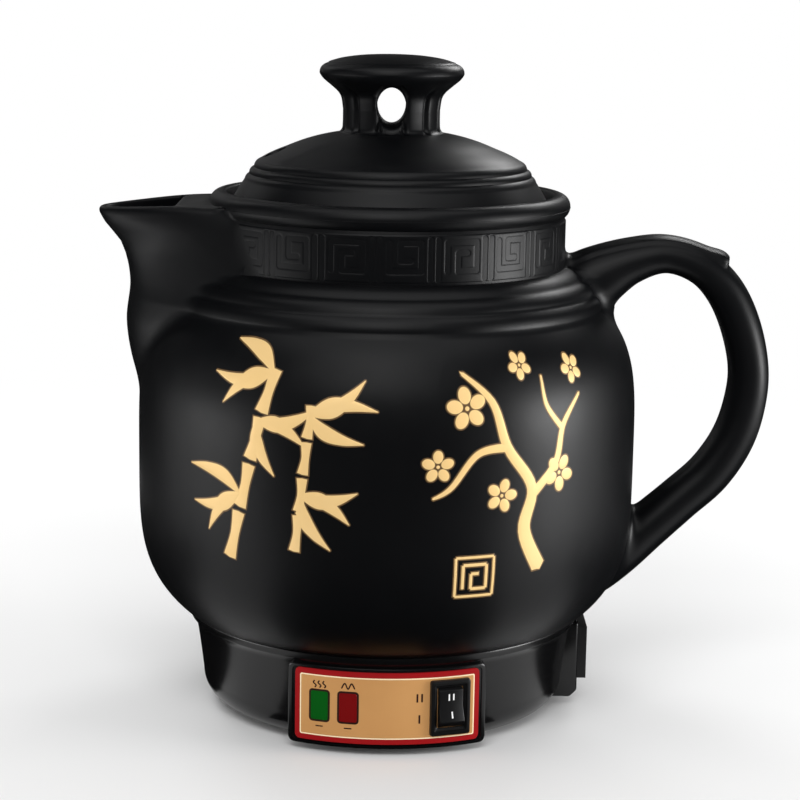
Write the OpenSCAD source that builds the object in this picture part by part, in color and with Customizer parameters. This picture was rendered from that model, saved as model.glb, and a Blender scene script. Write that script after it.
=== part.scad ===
// Electric herbal medicine pot: a glazed ceramic jug with a beak spout and a loop handle,
// a loose lift-off lid, and a round electric base with a control panel at the front.
// +Z is up, the origin is on the pot's axis at the plane it rests on,
// the spout points to -X, the handle to +X and the control panel to -Y.

/* [Ceramic pot] */
// Largest outer radius of the belly
belly_r = 100; // [84:1:120]
// Height of the belly, from the base to the neck
belly_h = 140; // [117:1:168]
// Outer radius of the neck
neck_r = 70; // [59:1:84]
// Height of the straight neck band
neck_h = 20; // [16:1:26]
// Height of the rolled rim above the band
rim_h = 8.6; // [7:0.2:10.4]
// Thickness of the ceramic wall
wall = 5; // [4:0.5:6]
// Thickness of the pot's floor
floor_t = 9; // [8:0.5:11]
// Outer radius of the foot ring that stands in the base
foot_r = 62; // [56:1:63]
// Height of the hidden part of the foot ring
foot_h = 8; // [7:0.5:9]

/* [Spout] */
// How far the lip stands out from the neck
spout_out = 46.4; // [39:0.5:56]
// Distance from the rim's crest down to the lip
lip_drop = 5; // [3:0.5:7]
// Half width of the lip's curve at the nose, as a radius
nose_r = 11.3; // [9:0.5:13.5]
// Length of the flat web between the spout's mouth and the neck
bridge_l = 15; // [12:1:18]
// Diameter of each strainer hole
strainer_d = 7; // [5:0.5:8]

/* [Handle] */
// How far the handle reaches beyond the belly
handle_out = 53.6; // [45:1:64]
// Width of the grip, side to side
grip_w = 22; // [18:1:26]
// Thickness of the grip, back to front
grip_t = 16; // [13:0.5:19]

/* [Lid] */
// Thickness of the lid's shell
lid_wall = 5; // [4:0.5:6]
// Height of the dome above the rim's crest
dome_h = 24.6; // [20:0.5:30]
// Height of the knob above the dome
knob_h = 29.2; // [24:0.5:35]
// Radius of the knob's cap
knob_r = 28.6; // [24:0.5:34]
// Radius of the knob's stem at its waist
stem_r = 19; // [17:0.5:22]
// Width of the oval hole through the stem
knob_hole_w = 11.4; // [9.5:0.5:13]
// Height of the oval hole through the stem
knob_hole_h = 15; // [12:0.5:17]
// Diameter of the steam hole
steam_d = 6; // [5:0.5:8]
// Clearance round the lid where it sits in the rim
lid_gap = 1; // [0.6:0.1:1.4]

/* [Base] */
// Height of the base, from the table to the pot
base_h = 40; // [36:1:48]
// Thickness of the moulded shell
shell_t = 2.6; // [2:0.1:3.2]
// Inward taper of the base's side
base_taper = 3.4; // [2:0.2:4.4]
// Radius of the rounded lower edge
edge_r = 10.5; // [8:0.5:12]
// Thickness of the bottom cover
cover_t = 3; // [2.4:0.1:3.6]
// Height of the rubber ring the pot stands on
ring_h = 2.5; // [2:0.1:3]

/* [Control panel] */
// Half angle of the raised panel frame
frame_a = 29.3; // [24:0.5:34]
// Half angle of the printed plate
label_a = 26.6; // [24:0.2:28]
// Height of the printed plate
label_h = 28.4; // [25:0.2:29]
// Width of a lamp window
window_w = 6.8; // [5.6:0.1:8]
// Height of a lamp window
window_h = 11.4; // [9.4:0.1:13.6]
// Width of the switch bezel
bezel_w = 16; // [15:0.5:18]
// Height of the switch bezel
bezel_h = 22; // [20.5:0.5:25]
// Width of the rocker
rocker_w = 9.8; // [8.4:0.2:11]
// Angle between the rocker's two positions
rocker_throw = 22; // [18:1:26]

/* [Power inlet] */
// Width of the inlet's flange
inlet_w = 29; // [27.5:0.5:33]
// Height of the inlet's flange
inlet_h = 21.6; // [20.5:0.1:25]
// Depth of the recess the connector plugs into
inlet_deep = 15; // [13:0.5:17]

/* [Heater] */
// Radius of the heating tube's loop
loop_r = 36; // [30:1:42]
// Radius of the heating tube
tube_r = 3.5; // [3:0.1:4.2]
// Height of the loop above the pot's floor
loop_z = 13; // [11:0.5:15.5]

/* [Hidden] */

ceramic = "#17181a";
gloss_black = "#101012";
rubber = "#222222";
steel = "#b9bcc0";
brass = "#c9a455";
eps = 0.01;
$fn = 96;

// Heights
neck_z = base_h + belly_h;
collar_z = neck_z + neck_h;
crest_z = collar_z + rim_h;
foot_z = base_h - foot_h;
under_z = foot_z + 4;
floor_z = under_z + floor_t;
wide_z = base_h + 0.464 * belly_h;
ridge_z = base_h + 0.886 * belly_h;
ledge_z = crest_z - 5.2;
lip_z = crest_z - lip_drop;

// ---------- Curves and lofts ----------

// A point at t = 0..1 along a smooth curve through the points p
function smooth(p, t) =
    let (n = len(p) - 1, s = min(t * n, n - eps / 10), i = floor(s), u = s - i,
         a = p[max(i - 1, 0)], b = p[i], c = p[i + 1], d = p[min(i + 2, n)])
    0.5 * (2 * b + (c - a) * u + (2 * a - 5 * b + 4 * c - d) * u * u
           + (3 * b - a - 3 * c + d) * u * u * u);

// A closed skin over rings that have the same number of points
module loft(rings) {
    n = len(rings[0]);
    m = len(rings);
    polyhedron(
        points = [for (r = rings) each r],
        faces = concat(
            [[for (i = [0 : n - 1]) i]],
            [for (k = [0 : m - 2], i = [0 : n - 1]) each [
                [k * n + i, (k + 1) * n + i, (k + 1) * n + (i + 1) % n],
                [k * n + i, (k + 1) * n + (i + 1) % n, k * n + (i + 1) % n]]],
            [[for (i = [n - 1 : -1 : 0]) (m - 1) * n + i]]),
        convexity = 6);
}

// Points of a roll that bulges by b from p to q, without p itself
function roll(p, q, b, n = 5) =
    let (d = q - p, side = [d[1], -d[0]] / norm(d))
    [for (i = [1 : n]) let (u = i / n) p + d * u + side * b * 4 * u * (1 - u)];

// Moves children to azimuth a (from -Y towards +X), with +X sideways, -Y outwards
module at_azimuth(a) rotate([0, 0, a]) children();

// ---------- Ceramic pot ----------

// Radius of the belly at height z
function belly(z) = z < wide_z
    ? belly_r * (1 - 0.196 * pow((wide_z - z) / (wide_z - base_h), 4.3))
    : belly_r * (1 - 0.165 * pow((z - wide_z) / (0.436 * belly_h), 4.1));

// The three rolls of the shoulder run from the belly to the neck
ridge_r = belly(ridge_z);
function ridge(out, up) = [neck_r + (ridge_r - neck_r) * out, ridge_z + (neck_z - ridge_z) * up];
ridges = [ridge(1, 0), ridge(0.79, 0.4), ridge(0.48, 0.74), ridge(0, 1)];
ridge_bulge = 1.1;

belly_steps = 22;
function belly_points(z0, z1, inset) =
    [for (i = [0 : belly_steps]) let (z = z0 + (z1 - z0) * i / belly_steps)
        [belly(z) - inset, z]];

// Outside of the pot, from the neck band upwards to the rim's crest
crest_r = neck_r - 2.6;
rim_bulge_r = neck_r + 1.7;
rim_half = 4.6;
function rim_points() = [
    [neck_r, collar_z - 2],
    for (a = [-60 : 20 : 80])
        [crest_r + (rim_bulge_r - crest_r) * cos(a), crest_z - rim_half + rim_half * sin(a)]];

seat_gap = 0.4;
module pot_outside(foot = true) {
    rotate_extrude() polygon(concat(
        [[0, foot ? foot_z : base_h + 1]],
        foot ? [[foot_r, foot_z], [foot_r, base_h + seat_gap]] : [],
        belly_points(base_h + seat_gap + 0.1, ridge_z, 0),
        roll(ridges[0], ridges[1], ridge_bulge),
        roll(ridges[1], ridges[2], ridge_bulge),
        roll(ridges[2], ridges[3], ridge_bulge),
        rim_points(),
        [[0, crest_z]]));
}

// Inside of the pot: floor, belly, neck, lid ledge and the step the lid sits in
mouth_r = neck_r - wall;
ledge_r = mouth_r - 6.6;
seat_r = mouth_r - 0.4;
inner_corner = 26;
module pot_inside() {
    side_z = floor_z + inner_corner;
    side_r = belly(side_z) - wall;
    rotate_extrude() polygon(concat(
        [[0, floor_z]],
        [for (a = [-90 : 10 : 0])
            [side_r - inner_corner + inner_corner * cos(a), side_z + inner_corner * sin(a)]],
        belly_points(side_z + 4, ridge_z, wall),
        [for (i = [1 : 3]) ridges[i] - [wall, i == 3 ? 0 : 1]],
        [[mouth_r, ledge_z - 7.5], [ledge_r, ledge_z - 3.6], [ledge_r, ledge_z],
         [seat_r, ledge_z], [seat_r, crest_z - 1.6], [seat_r + 1, crest_z + eps],
         [0, crest_z + eps]]));
}

// ---------- Spout ----------

// Front line of the beak: distance from the axis and height, from the belly to the lip
lip_x = neck_r + spout_out;
beak_low_z = lip_z - 78;
function beak_line() = [
    [belly_r - 3, beak_low_z], [belly_r + 2.4, lip_z - 65], [belly_r + 5.1, lip_z - 48],
    [(belly_r * 2 + lip_x) / 3 - 1.9, lip_z - 31], [(belly_r + lip_x) / 2 - 1.4, lip_z - 15],
    [lip_x - 2.9, lip_z - 6.5], [lip_x, lip_z]];

// A level section: a parabola round the nose, closed by a straight line inside the pot
beak_side = 9;
function beak_section(x, z, r, root) =
    let (w = sqrt(2 * r * (x - root)))
    [for (i = [beak_side : -1 : -beak_side])
        let (y = w * i / beak_side) [y * y / (2 * r) - x, y, z]];

function beak_round(z) = min(nose_r + 0.42 * (lip_z - z), 27);

module beak(inset, low, high, extra = 0) {
    line = beak_line();
    steps = 15;
    // the curve's own parameter runs evenly enough in height to be cut at low and high
    t0 = (low - beak_low_z) / (lip_z - beak_low_z);
    rings = [for (k = [0 : steps]) let (t = t0 + (1 - t0) * k / steps, p = smooth(line, t))
        beak_section(p[0] - inset, min(p[1], high), beak_round(p[1]) - inset * 0.8,
                     neck_r * 0.72)];
    top = rings[steps];
    loft(extra > 0 ? concat(rings, [[for (q = top) q + [0, 0, extra]]]) : rings);
}

mouth_end = neck_r + bridge_l;
module spout_hollow() {
    difference() {
        beak(5.2, ridge_z - 16, lip_z, 6);
        pot_outside(false);
        // the flat web that ties the lip to the neck stays
        translate([-mouth_end, -belly_r, lip_z - 4.5])
            cube([mouth_end, 2 * belly_r, 20]);
    }
}

strainer_rows = [[neck_z + 7, 3], [neck_z - 5, 4], [neck_z - 17, 3]];
module strainer_holes() {
    pitch = strainer_d * 1.7;
    for (row = strainer_rows, i = [0 : row[1] - 1])
        translate([-neck_r + wall * 2.4, (i - (row[1] - 1) / 2) * pitch, row[0]])
            rotate([0, -90, 0]) cylinder(d = strainer_d, h = belly_r - neck_r + wall - 8, $fn = 32);
}

// ---------- Handle ----------

// Middle line of the grip, from inside the shoulder round to inside the belly
grip_x = belly_r + handle_out - grip_t / 2;
// Belly height that the drops below were drawn for
grip_drawn_h = 140;
function below(drop) = neck_z - drop * belly_h / grip_drawn_h;
grip_line = [
    [neck_r + 1, neck_z - 8], [neck_r + 14, neck_z - 2], [neck_r + 27, neck_z + 2.5],
    [(neck_r + grip_x) / 2 + 3, neck_z + 4.6], [grip_x - 21, neck_z + 0.4],
    [grip_x - 11, below(9)], [grip_x - 4, below(23)], [grip_x, below(40)],
    [grip_x - 0.8, below(55)], [grip_x - 5.2, below(70)], [grip_x - 14, below(84)],
    [grip_x - 26, below(95.4)], [belly_r + 7.5, below(106.4)],
    [belly_r - 5, below(117.5)], [belly_r - 15, below(125)]];
// Half thickness and half width of the grip along that line
grip_size = [
    [1.28, 1.3], [1.18, 1.25], [1.0, 1.1], [0.89, 1.0], [0.92, 1.0], [0.98, 1.0], [1.0, 1.0],
    [1.0, 1.0], [1.04, 1.0], [1.08, 1.0], [1.1, 1.0], [1.1, 1.02], [1.15, 1.08],
    [1.25, 1.18], [1.3, 1.25]];

grip_rings = 36;
grip_sides = 18;
module grip(t0, t1, thick, wide, lift = 0) {
    rings = [for (k = [0 : grip_rings])
        let (t = t0 + (t1 - t0) * k / grip_rings,
             p = smooth(grip_line, t), s = smooth(grip_size, t),
             q = smooth(grip_line, min(t + 0.004, 1)) - smooth(grip_line, max(t - 0.004, 0)),
             n = [-q[1], q[0]] / norm(q))
        [for (i = [0 : grip_sides - 1])
            let (a = -360 * i / grip_sides, h = thick / 2 * s[0] * cos(a) + lift)
            [p[0] + n[0] * h, wide / 2 * s[1] * sin(a), p[1] + n[1] * h]]];
    loft(rings);
}

module pot_body() {
    color(ceramic) difference() {
        union() {
            pot_outside();
            beak(0, beak_low_z, lip_z);
            grip(0, 1, grip_t, grip_w);
        }
        pot_inside();
        spout_hollow();
        strainer_holes();
        translate([0, 0, foot_z - eps]) cylinder(r = foot_r - 9, h = under_z - foot_z + eps);
        translate([0, 0, foot_z]) cylinder(r = neck_hole_r, h = floor_z);
    }
}

// ---------- Lid ----------

dome_r = ledge_r - 4.9;
stem_z = crest_z + dome_h;
dome_edge_z = stem_z - 14;
function dome(r) = stem_z - 14 * pow(r / dome_r, 2.6);

waist_z = stem_z + knob_h * 0.26;
cap_z = stem_z + knob_h * 0.71;
top_z = stem_z + knob_h;
function stem(z) = z < waist_z
    ? stem_r + 1.8 * pow((waist_z - z) / (waist_z - stem_z), 2)
    : stem_r + (knob_r - 0.8 - stem_r) * pow((z - waist_z) / (cap_z - waist_z), 1.9);

flange_r = seat_r - lid_gap;
spigot_r = ledge_r - lid_gap;
spigot_z = ledge_z - 6.5;
module lid() {
    tier_1 = [dome_r + 0.9, dome_edge_z - 2.2];
    tier_2 = [dome_r + 4.6, dome_edge_z - 7.4];
    tier_3 = [flange_r - 1.6, ledge_z + 3.4];
    color(ceramic) difference() {
        rotate_extrude() polygon(concat(
            [[0, spigot_z], [spigot_r, spigot_z], [spigot_r, ledge_z],
             [flange_r, ledge_z], [flange_r, ledge_z + 2.4]],
            roll(tier_3, tier_2, 0.9), roll(tier_2, tier_1, 0.8),
            [for (i = [0 : 10]) let (r = dome_r - (dome_r - stem_r - 2.4) * i / 10) [r, dome(r)]],
            [for (i = [0 : 10]) let (z = stem_z + (cap_z - stem_z) * i / 10) [stem(z), z]],
            [for (a = [-50 : 25 : 50]) [knob_r - 1.8 + 1.8 * cos(a), cap_z + 1.4 + 1.8 * sin(a)]],
            [for (i = [0 : 6]) let (r = (knob_r - 1.2) * (1 - i / 6))
                [r, top_z - (top_z - cap_z - 3.2) * pow(r / (knob_r - 1.2), 2.2)]]));
        // the hollow under the dome
        rotate_extrude() polygon(concat(
            [[0, spigot_z - 0.5], [spigot_r - lid_wall + 1, spigot_z - 0.5]],
            [for (i = [0 : 10]) let (r = (dome_r - 1) * (1 - i / 10)) [r, dome(r) - lid_wall]]));
        // flutes round the stem
        for (k = [0 : 11]) rotate([0, 0, 15 + 30 * k])
            translate([0, -stem_r - 1.6, stem_z - 0.5]) cylinder(r = 2.6, h = knob_h * 0.48, $fn = 24);
        knob_hole();
        // steam hole over the spout
        translate([-dome_r * 0.87, 0, ledge_z]) cylinder(d = steam_d, h = dome_h, $fn = 32);
    }
}

module knob_hole() {
    mid_z = stem_z + knob_h * 0.33;
    translate([0, 0, mid_z]) rotate([90, 0, 0])
        linear_extrude(height = 3 * knob_r, center = true) polygon(
            [for (i = [0 : 31]) let (a = 360 * i / 32)
                [knob_hole_w / 2 * cos(a), knob_hole_h / 2 * sin(a)]]);
}

// ---------- Base ----------

// Outside of the base: a small lip, then a side that tapers in to the rounded edge
lip_r = belly_r * 0.793;
side_r = lip_r - 2.1;
low_r = side_r - base_taper;
edge_z = 2 + edge_r;
function base_side(inset) = concat(
    [[lip_r - inset, base_h], [lip_r - inset, base_h - 3], [side_r - inset, base_h - 4.8]],
    [for (i = [1 : 3]) [side_r - inset - base_taper * pow(i / 3, 0.8),
                        base_h - 4.8 - (base_h - 4.8 - edge_z) * i / 3]],
    [for (a = [15 : 15 : 90]) [low_r - edge_r + (edge_r - inset) * cos(a),
                               edge_z - (edge_r - inset) * sin(a)]]);

seat_t = 1.5;
shelf_z = foot_z - seat_t;
shelf_t = 2.5;
shelf_r = foot_r - 10;
cup_r = foot_r + 0.5;
cover_r = low_r - edge_r - 1;
cover_z = ring_h;
flange_z = cover_z + cover_t;
screw_r = cover_r - 4.5;
boss_r = 3.6;

module base_shell() {
    color(gloss_black) difference() {
        union() {
            rotate_extrude() polygon(concat(
                base_side(0),
                [[cover_r + 0.3, 2], [cover_r + 0.3, flange_z], [cover_r - 8, flange_z],
                 [cover_r - 8, flange_z + shell_t]],
                [for (a = [75 : -15 : 0]) [low_r - edge_r + (edge_r - shell_t) * cos(a),
                    max(edge_z - (edge_r - shell_t) * sin(a), flange_z + shell_t)]],
                [[side_r - shell_t, base_h - 5], [side_r - shell_t, base_h - shell_t],
                 [cup_r + shell_t, base_h - shell_t], [cup_r + shell_t, shelf_z - shelf_t],
                 [shelf_r, shelf_z - shelf_t], [shelf_r, shelf_z], [cup_r, shelf_z],
                 [cup_r, base_h]]));
            inlet_housing();
            for (k = [0 : 3]) rotate([0, 0, 45 + 90 * k]) translate([screw_r, 0, flange_z])
                cylinder(r = boss_r, h = 9, $fn = 32);
        }
        for (k = [0 : 3]) rotate([0, 0, 45 + 90 * k]) translate([screw_r, 0, flange_z - eps])
            cylinder(r = 1.3, h = 8, $fn = 24);
        switch_cut(0.3);
        for (w = windows) window_cut(w, window_w - 1.6, window_h - 1.6, 12);
        inlet_cut();
    }
}

module seat_ring() {
    color(rubber) translate([0, 0, shelf_z]) difference() {
        cylinder(r = foot_r - 0.2, h = seat_t);
        translate([0, 0, -1]) cylinder(r = shelf_r + 1, h = seat_t + 2);
    }
}

ring_in = cover_r - 18;
ring_out = cover_r - 10;
module base_cover() {
    color("#18181a") difference() {
        translate([0, 0, cover_z]) cylinder(r = cover_r, h = cover_t);
        for (k = [0 : 3]) rotate([0, 0, 45 + 90 * k]) translate([screw_r, 0, cover_z - eps]) {
            cylinder(r = 1.7, h = cover_t + 1, $fn = 24);
            cylinder(r = 3.3, h = 1.7, $fn = 32);
        }
        for (x = [-20 : 8 : 20])
            translate([x - 1.5, -14, cover_z - 1]) cube([3, 28, cover_t + 2]);
    }
}

module foot_ring() {
    color(rubber) difference() {
        cylinder(r = ring_out, h = ring_h);
        translate([0, 0, -1]) cylinder(r = ring_in, h = ring_h + 2);
    }
}

module cover_screw(k) {
    color(steel) rotate([0, 0, 45 + 90 * k]) translate([screw_r, 0, cover_z + 0.2]) difference() {
        union() {
            cylinder(r = 2.9, h = 1.49, $fn = 32);
            cylinder(r = 1.3, h = 8, $fn = 24);
        }
        for (a = [0, 90]) rotate([0, 0, a]) translate([-1.8, -0.3, -1]) cube([3.6, 0.6, 1.7]);
    }
}

// ---------- Control panel ----------

panel_a = 1.5;
frame_r = side_r + 1;
label_t = 0.5;
label_z = 5.2;
label_mid = label_z + label_h / 2;
windows = [panel_a - 19.2, panel_a - 11];
switch_a = panel_a + 17.6;

// A band of the panel between two radii and two heights, a degrees each way
module panel_band(points, a) {
    rotate([0, 0, panel_a - 90 - a]) rotate_extrude(angle = 2 * a) polygon(points);
}

module window_cut(a, w, h, deep) {
    at_azimuth(a) translate([-w / 2, -frame_r - 3, label_mid - h / 2]) cube([w, deep + 3, h]);
}

module switch_cut(gap) {
    at_azimuth(switch_a) translate([0, 0, label_mid])
        translate([-body_w / 2 - gap, -frame_r - 3, -body_h / 2 - gap])
            cube([body_w + 2 * gap, 14, body_h + 2 * gap]);
}

module panel_frame() {
    color(gloss_black) difference() {
        panel_band(concat(
            [for (p = base_side(0)) if (p[1] < base_h - 3 && p[1] > 3) p],
            [[frame_r - 4, 3], [frame_r, 3], [frame_r, base_h - 4.8]]),
            frame_a);
        for (w = windows) window_cut(w, window_w - 1.6, window_h - 1.6, 12);
        switch_cut(0.3);
        // flat pocket that the bezel sits in
        at_azimuth(switch_a) translate([-bezel_w / 2 - 0.15, -frame_r - 3, label_mid - bezel_h / 2 - 0.15])
            cube([bezel_w + 0.3, 3.6, bezel_h + 0.3]);
    }
}

module panel_label() {
    color("#c89a5c") difference() {
        panel_band([[frame_r, label_z], [frame_r + label_t, label_z],
                    [frame_r + label_t, label_z + label_h], [frame_r, label_z + label_h]], label_a);
        for (w = windows) window_cut(w, window_w, window_h, 12);
        at_azimuth(switch_a) translate([-bezel_w / 2 - 0.15, -frame_r - 3, label_mid - bezel_h / 2 - 0.15])
            cube([bezel_w + 0.3, 6, bezel_h + 0.3]);
    }
}

// A lamp window: a thin lens over a plug that fills the cut in the frame
module lamp_window(a, tint) {
    color(tint) union() {
        for (part = [[frame_r, label_t + 0.3, 0.2], [frame_r - 1.5, 1.5, 1.8]]) intersection() {
            panel_band([[part[0], 0], [part[0] + part[1], 0],
                        [part[0] + part[1], base_h], [part[0], base_h]], frame_a);
            window_cut(a, window_w - part[2], window_h - part[2], 12);
        }
    }
}

module lamp(a) {
    color("#e8e6df") at_azimuth(a) translate([0, -frame_r + 2.2, label_mid]) rotate([-90, 0, 0]) {
        cylinder(r = 2.2, h = 9, $fn = 32);
    }
}

// The switch: a bezel, a body behind it, and a rocker that turns in a round seat
body_w = 12.6;
body_h = min(bezel_h - 3, 2 * (label_mid - flange_z - shell_t - 0.5));
pivot_in = 4.2;
rocker_r = 8.4;
pocket_y = frame_r - 0.6;
body_deep = pocket_y - cup_r - shell_t - 0.5;
bezel_t = 2.6;
face_y = pocket_y + bezel_t;

module switch_housing() {
    color("#141414") at_azimuth(switch_a) translate([0, 0, label_mid]) difference() {
        union() {
            translate([-bezel_w / 2, -face_y, -bezel_h / 2]) cube([bezel_w, bezel_t, bezel_h]);
            translate([-body_w / 2, -pocket_y, -body_h / 2]) cube([body_w, body_deep, body_h]);
        }
        translate([0, -face_y + pivot_in, 0]) rotate([0, 90, 0])
            cylinder(r = rocker_r + 0.35, h = rocker_w + 0.6, center = true);
    }
}

module switch_rocker() {
    tilt = rocker_throw / 2;
    color("#1b1b1c") at_azimuth(switch_a) translate([0, -face_y + pivot_in, label_mid])
        rotate([-tilt, 0, 0]) intersection() {
            rotate([0, 90, 0]) cylinder(r = rocker_r, h = rocker_w, center = true);
            // the two faces that a finger presses meet in a shallow valley
            rotate([90, 0, 90]) linear_extrude(height = 2 * rocker_w, center = true)
                polygon([[-pivot_in - 0.3, 0], [-pivot_in - 0.3 - 12 * tan(tilt), 12], [3, 12],
                         [3, -12], [-pivot_in - 0.3 - 12 * tan(tilt), -12]]);
        }
}

module switch_tabs() {
    color(brass) at_azimuth(switch_a) for (z = [-5, 0, 5])
        translate([-2.4, -pocket_y + body_deep, label_mid + z - 0.4]) cube([4.8, 7, 0.8]);
}

// ---------- Power inlet ----------

inlet_z = base_h - 6 - inlet_h / 2;
inlet_x = side_r + 5.6;
housing_x = inlet_x - 3.6;
housing_w = inlet_w + 3;
housing_z = 4.6;
housing_cut = 4;
rear_x = max(cup_r + shell_t + 0.6, cover_r + 1.5);
module inlet_housing() {
    difference() {
        translate([rear_x, -housing_w / 2, housing_z])
            cube([housing_x - rear_x, housing_w, base_h - 4 - housing_z]);
        // the lower corner is cut away at an angle
        translate([housing_x, -housing_w, housing_z]) rotate([0, 45, 0])
            cube([housing_cut, 2 * housing_w, housing_cut]);
    }
}

module inlet_cut() {
    translate([rear_x - eps, -inlet_w / 2 + 0.8, inlet_z - inlet_h / 2 + 0.8])
        cube([30, inlet_w - 1.6, inlet_h - 1.6]);
}

back_t = 1.4;
pin_places = [[-7, -2], [0, 2], [7, -2]];
cavity_w = inlet_w - 4.8;
cavity_h = inlet_h - 5;
module inlet_outline(w, h) {
    // upright rectangle with its two upper corners cut off, as on a three-pin inlet
    polygon([[-w / 2, -h / 2], [w / 2, -h / 2], [w / 2, h / 2 - 4], [w / 2 - 5, h / 2],
             [-w / 2 + 5, h / 2], [-w / 2, h / 2 - 4]]);
}

module inlet_socket() {
    color("#151515") translate([0, 0, inlet_z]) difference() {
        union() {
            translate([housing_x, -inlet_w / 2, -inlet_h / 2]) cube([3.6, inlet_w, inlet_h]);
            translate([inlet_x - inlet_deep - back_t, -inlet_w / 2 + 1, -inlet_h / 2 + 1])
                cube([inlet_deep - 3.6 + back_t, inlet_w - 2, inlet_h - 2]);
        }
        for (p = pin_places) pin_bar(p);
        translate([inlet_x - inlet_deep, 0, 0]) rotate([90, 0, 90])
            linear_extrude(height = inlet_deep + 1) inlet_outline(cavity_w, cavity_h);
    }
}

// The pins end behind the socket, or short of the cup where it comes down to their height
pin_x = inlet_z + 4 > shelf_z - shelf_t
    ? cup_r + shell_t + 0.3 : inlet_x - inlet_deep - back_t - 4;
module pin_bar(p) {
    translate([pin_x, p[0] - 1, p[1] - 2]) cube([inlet_x - 5.5 - pin_x, 2, 4]);
}

module inlet_pin(p) color(steel) translate([0, 0, inlet_z]) pin_bar(p);

// ---------- Heater ----------

neck_hole_r = 16;
plate_r = 24;
plate_t = 3;
gasket_t = 1.5;
plate_z = floor_z + gasket_t;
bend_r = 8;
leg_y = 7;
leg_x = 5;
tube_z = floor_z + loop_z;

module heater_flange() {
    color(steel) difference() {
        union() {
            translate([0, 0, plate_z]) cylinder(r = plate_r, h = plate_t);
            translate([0, 0, neck_end_z]) cylinder(r = neck_hole_r - 0.6, h = plate_z - neck_end_z);
        }
        translate([0, 0, neck_end_z - 1]) cylinder(r = neck_hole_r - 3, h = plate_z - neck_end_z + 1);
        for (s = [-1, 1]) translate([leg_x, s * leg_y, plate_z - 1])
            cylinder(r = tube_r, h = plate_t + 2, $fn = 48);
        translate([-6, 0, plate_z - 1]) cylinder(r = 4, h = plate_t + 2, $fn = 48);
    }
}

module flange_gasket() {
    color("#b4503c") translate([0, 0, floor_z]) difference() {
        cylinder(r = plate_r - 1, h = gasket_t);
        translate([0, 0, -1]) cylinder(r = neck_hole_r, h = gasket_t + 2);
    }
}

// Half of the tube: up from the flange, out along +X, round two corners and back to the loop
corner_r = 14;
side_x = loop_r - bend_r;
module tube_bend(r, a) {
    rotate_extrude(angle = a) translate([r, 0]) circle(r = tube_r, $fn = 48);
}

module tube_run(l) cylinder(r = tube_r, h = l, $fn = 48);

module heater_half() {
    translate([leg_x, leg_y, plate_z - 6]) tube_run(tube_z - bend_r - plate_z + 6);
    translate([leg_x + bend_r, leg_y, tube_z - bend_r]) rotate([90, 0, 0])
        rotate([0, 0, 90]) tube_bend(bend_r, 90);
    translate([leg_x + bend_r, leg_y, tube_z]) rotate([0, 90, 0])
        tube_run(side_x - 2 * bend_r - leg_x);
    translate([side_x - bend_r, leg_y + bend_r, tube_z]) rotate([0, 0, -90]) tube_bend(bend_r, 90);
    translate([side_x, leg_y + bend_r, tube_z]) rotate([-90, 0, 0])
        tube_run(loop_r - corner_r - leg_y - bend_r);
    translate([side_x - corner_r, loop_r - corner_r, tube_z]) tube_bend(corner_r, 90);
    translate([0, loop_r, tube_z]) rotate([0, 90, 0]) tube_run(side_x - corner_r);
}

module heater_tube() {
    color(steel) {
        heater_half();
        mirror([0, 1, 0]) heater_half();
        translate([0, 0, tube_z]) rotate([0, 0, 90]) tube_bend(loop_r, 180);
    }
}

module sensor_pocket() {
    color(steel) translate([-6, 0, plate_z - 4]) difference() {
        union() {
            cylinder(r = 4, h = 20, $fn = 48);
            translate([0, 0, 20]) sphere(r = 4, $fn = 48);
        }
        translate([0, 0, -1]) cylinder(r = 3.2, h = 20, $fn = 48);
    }
}

bracket_t = 2;
bracket_z = shelf_z - shelf_t - bracket_t;
bracket_w = 40;
module fixing_bracket() {
    color(steel) difference() {
        intersection() {
            translate([-bracket_w / 2, -foot_r, bracket_z]) cube([bracket_w, 2 * foot_r, bracket_t]);
            translate([0, 0, bracket_z - 1]) cylinder(r = foot_r - 5, h = bracket_t + 2);
        }
        translate([0, 0, bracket_z - 1]) cylinder(r = neck_hole_r, h = bracket_t + 2);
    }
}

nut_t = 6;
nut_z = bracket_z - nut_t;
neck_end_z = nut_z - 1;
module flange_nut() {
    color(brass) translate([0, 0, nut_z]) difference() {
        cylinder(r = 23, h = nut_t, $fn = 6);
        translate([0, 0, -1]) cylinder(r = neck_hole_r - 0.6, h = nut_t + 2);
    }
}

module heater_tab(s) {
    color(brass) translate([leg_x - 0.5, s * leg_y - 3, plate_z - 16]) cube([1, 6, 10]);
}

module thermostat() {
    color("#ded9cc") translate([-bracket_w / 2 + 7, 44, bracket_z - 9]) difference() {
        union() {
            cylinder(r = 8, h = 9, $fn = 48);
            translate([-2.4, -12, 1]) cube([4.8, 24, 0.8]);
        }
        translate([0, 0, -1]) cylinder(r = 3, h = 3, $fn = 32);
    }
}

module thermal_cutout() {
    color("#ded9cc") translate([bracket_w / 2 - 8, -50, bracket_z - 4]) {
        rotate([-90, 0, 0]) cylinder(r = 4, h = 22, $fn = 32);
        translate([-4, 0, 0]) cube([8, 22, 4]);
    }
}

// ---------- The object ----------

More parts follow.
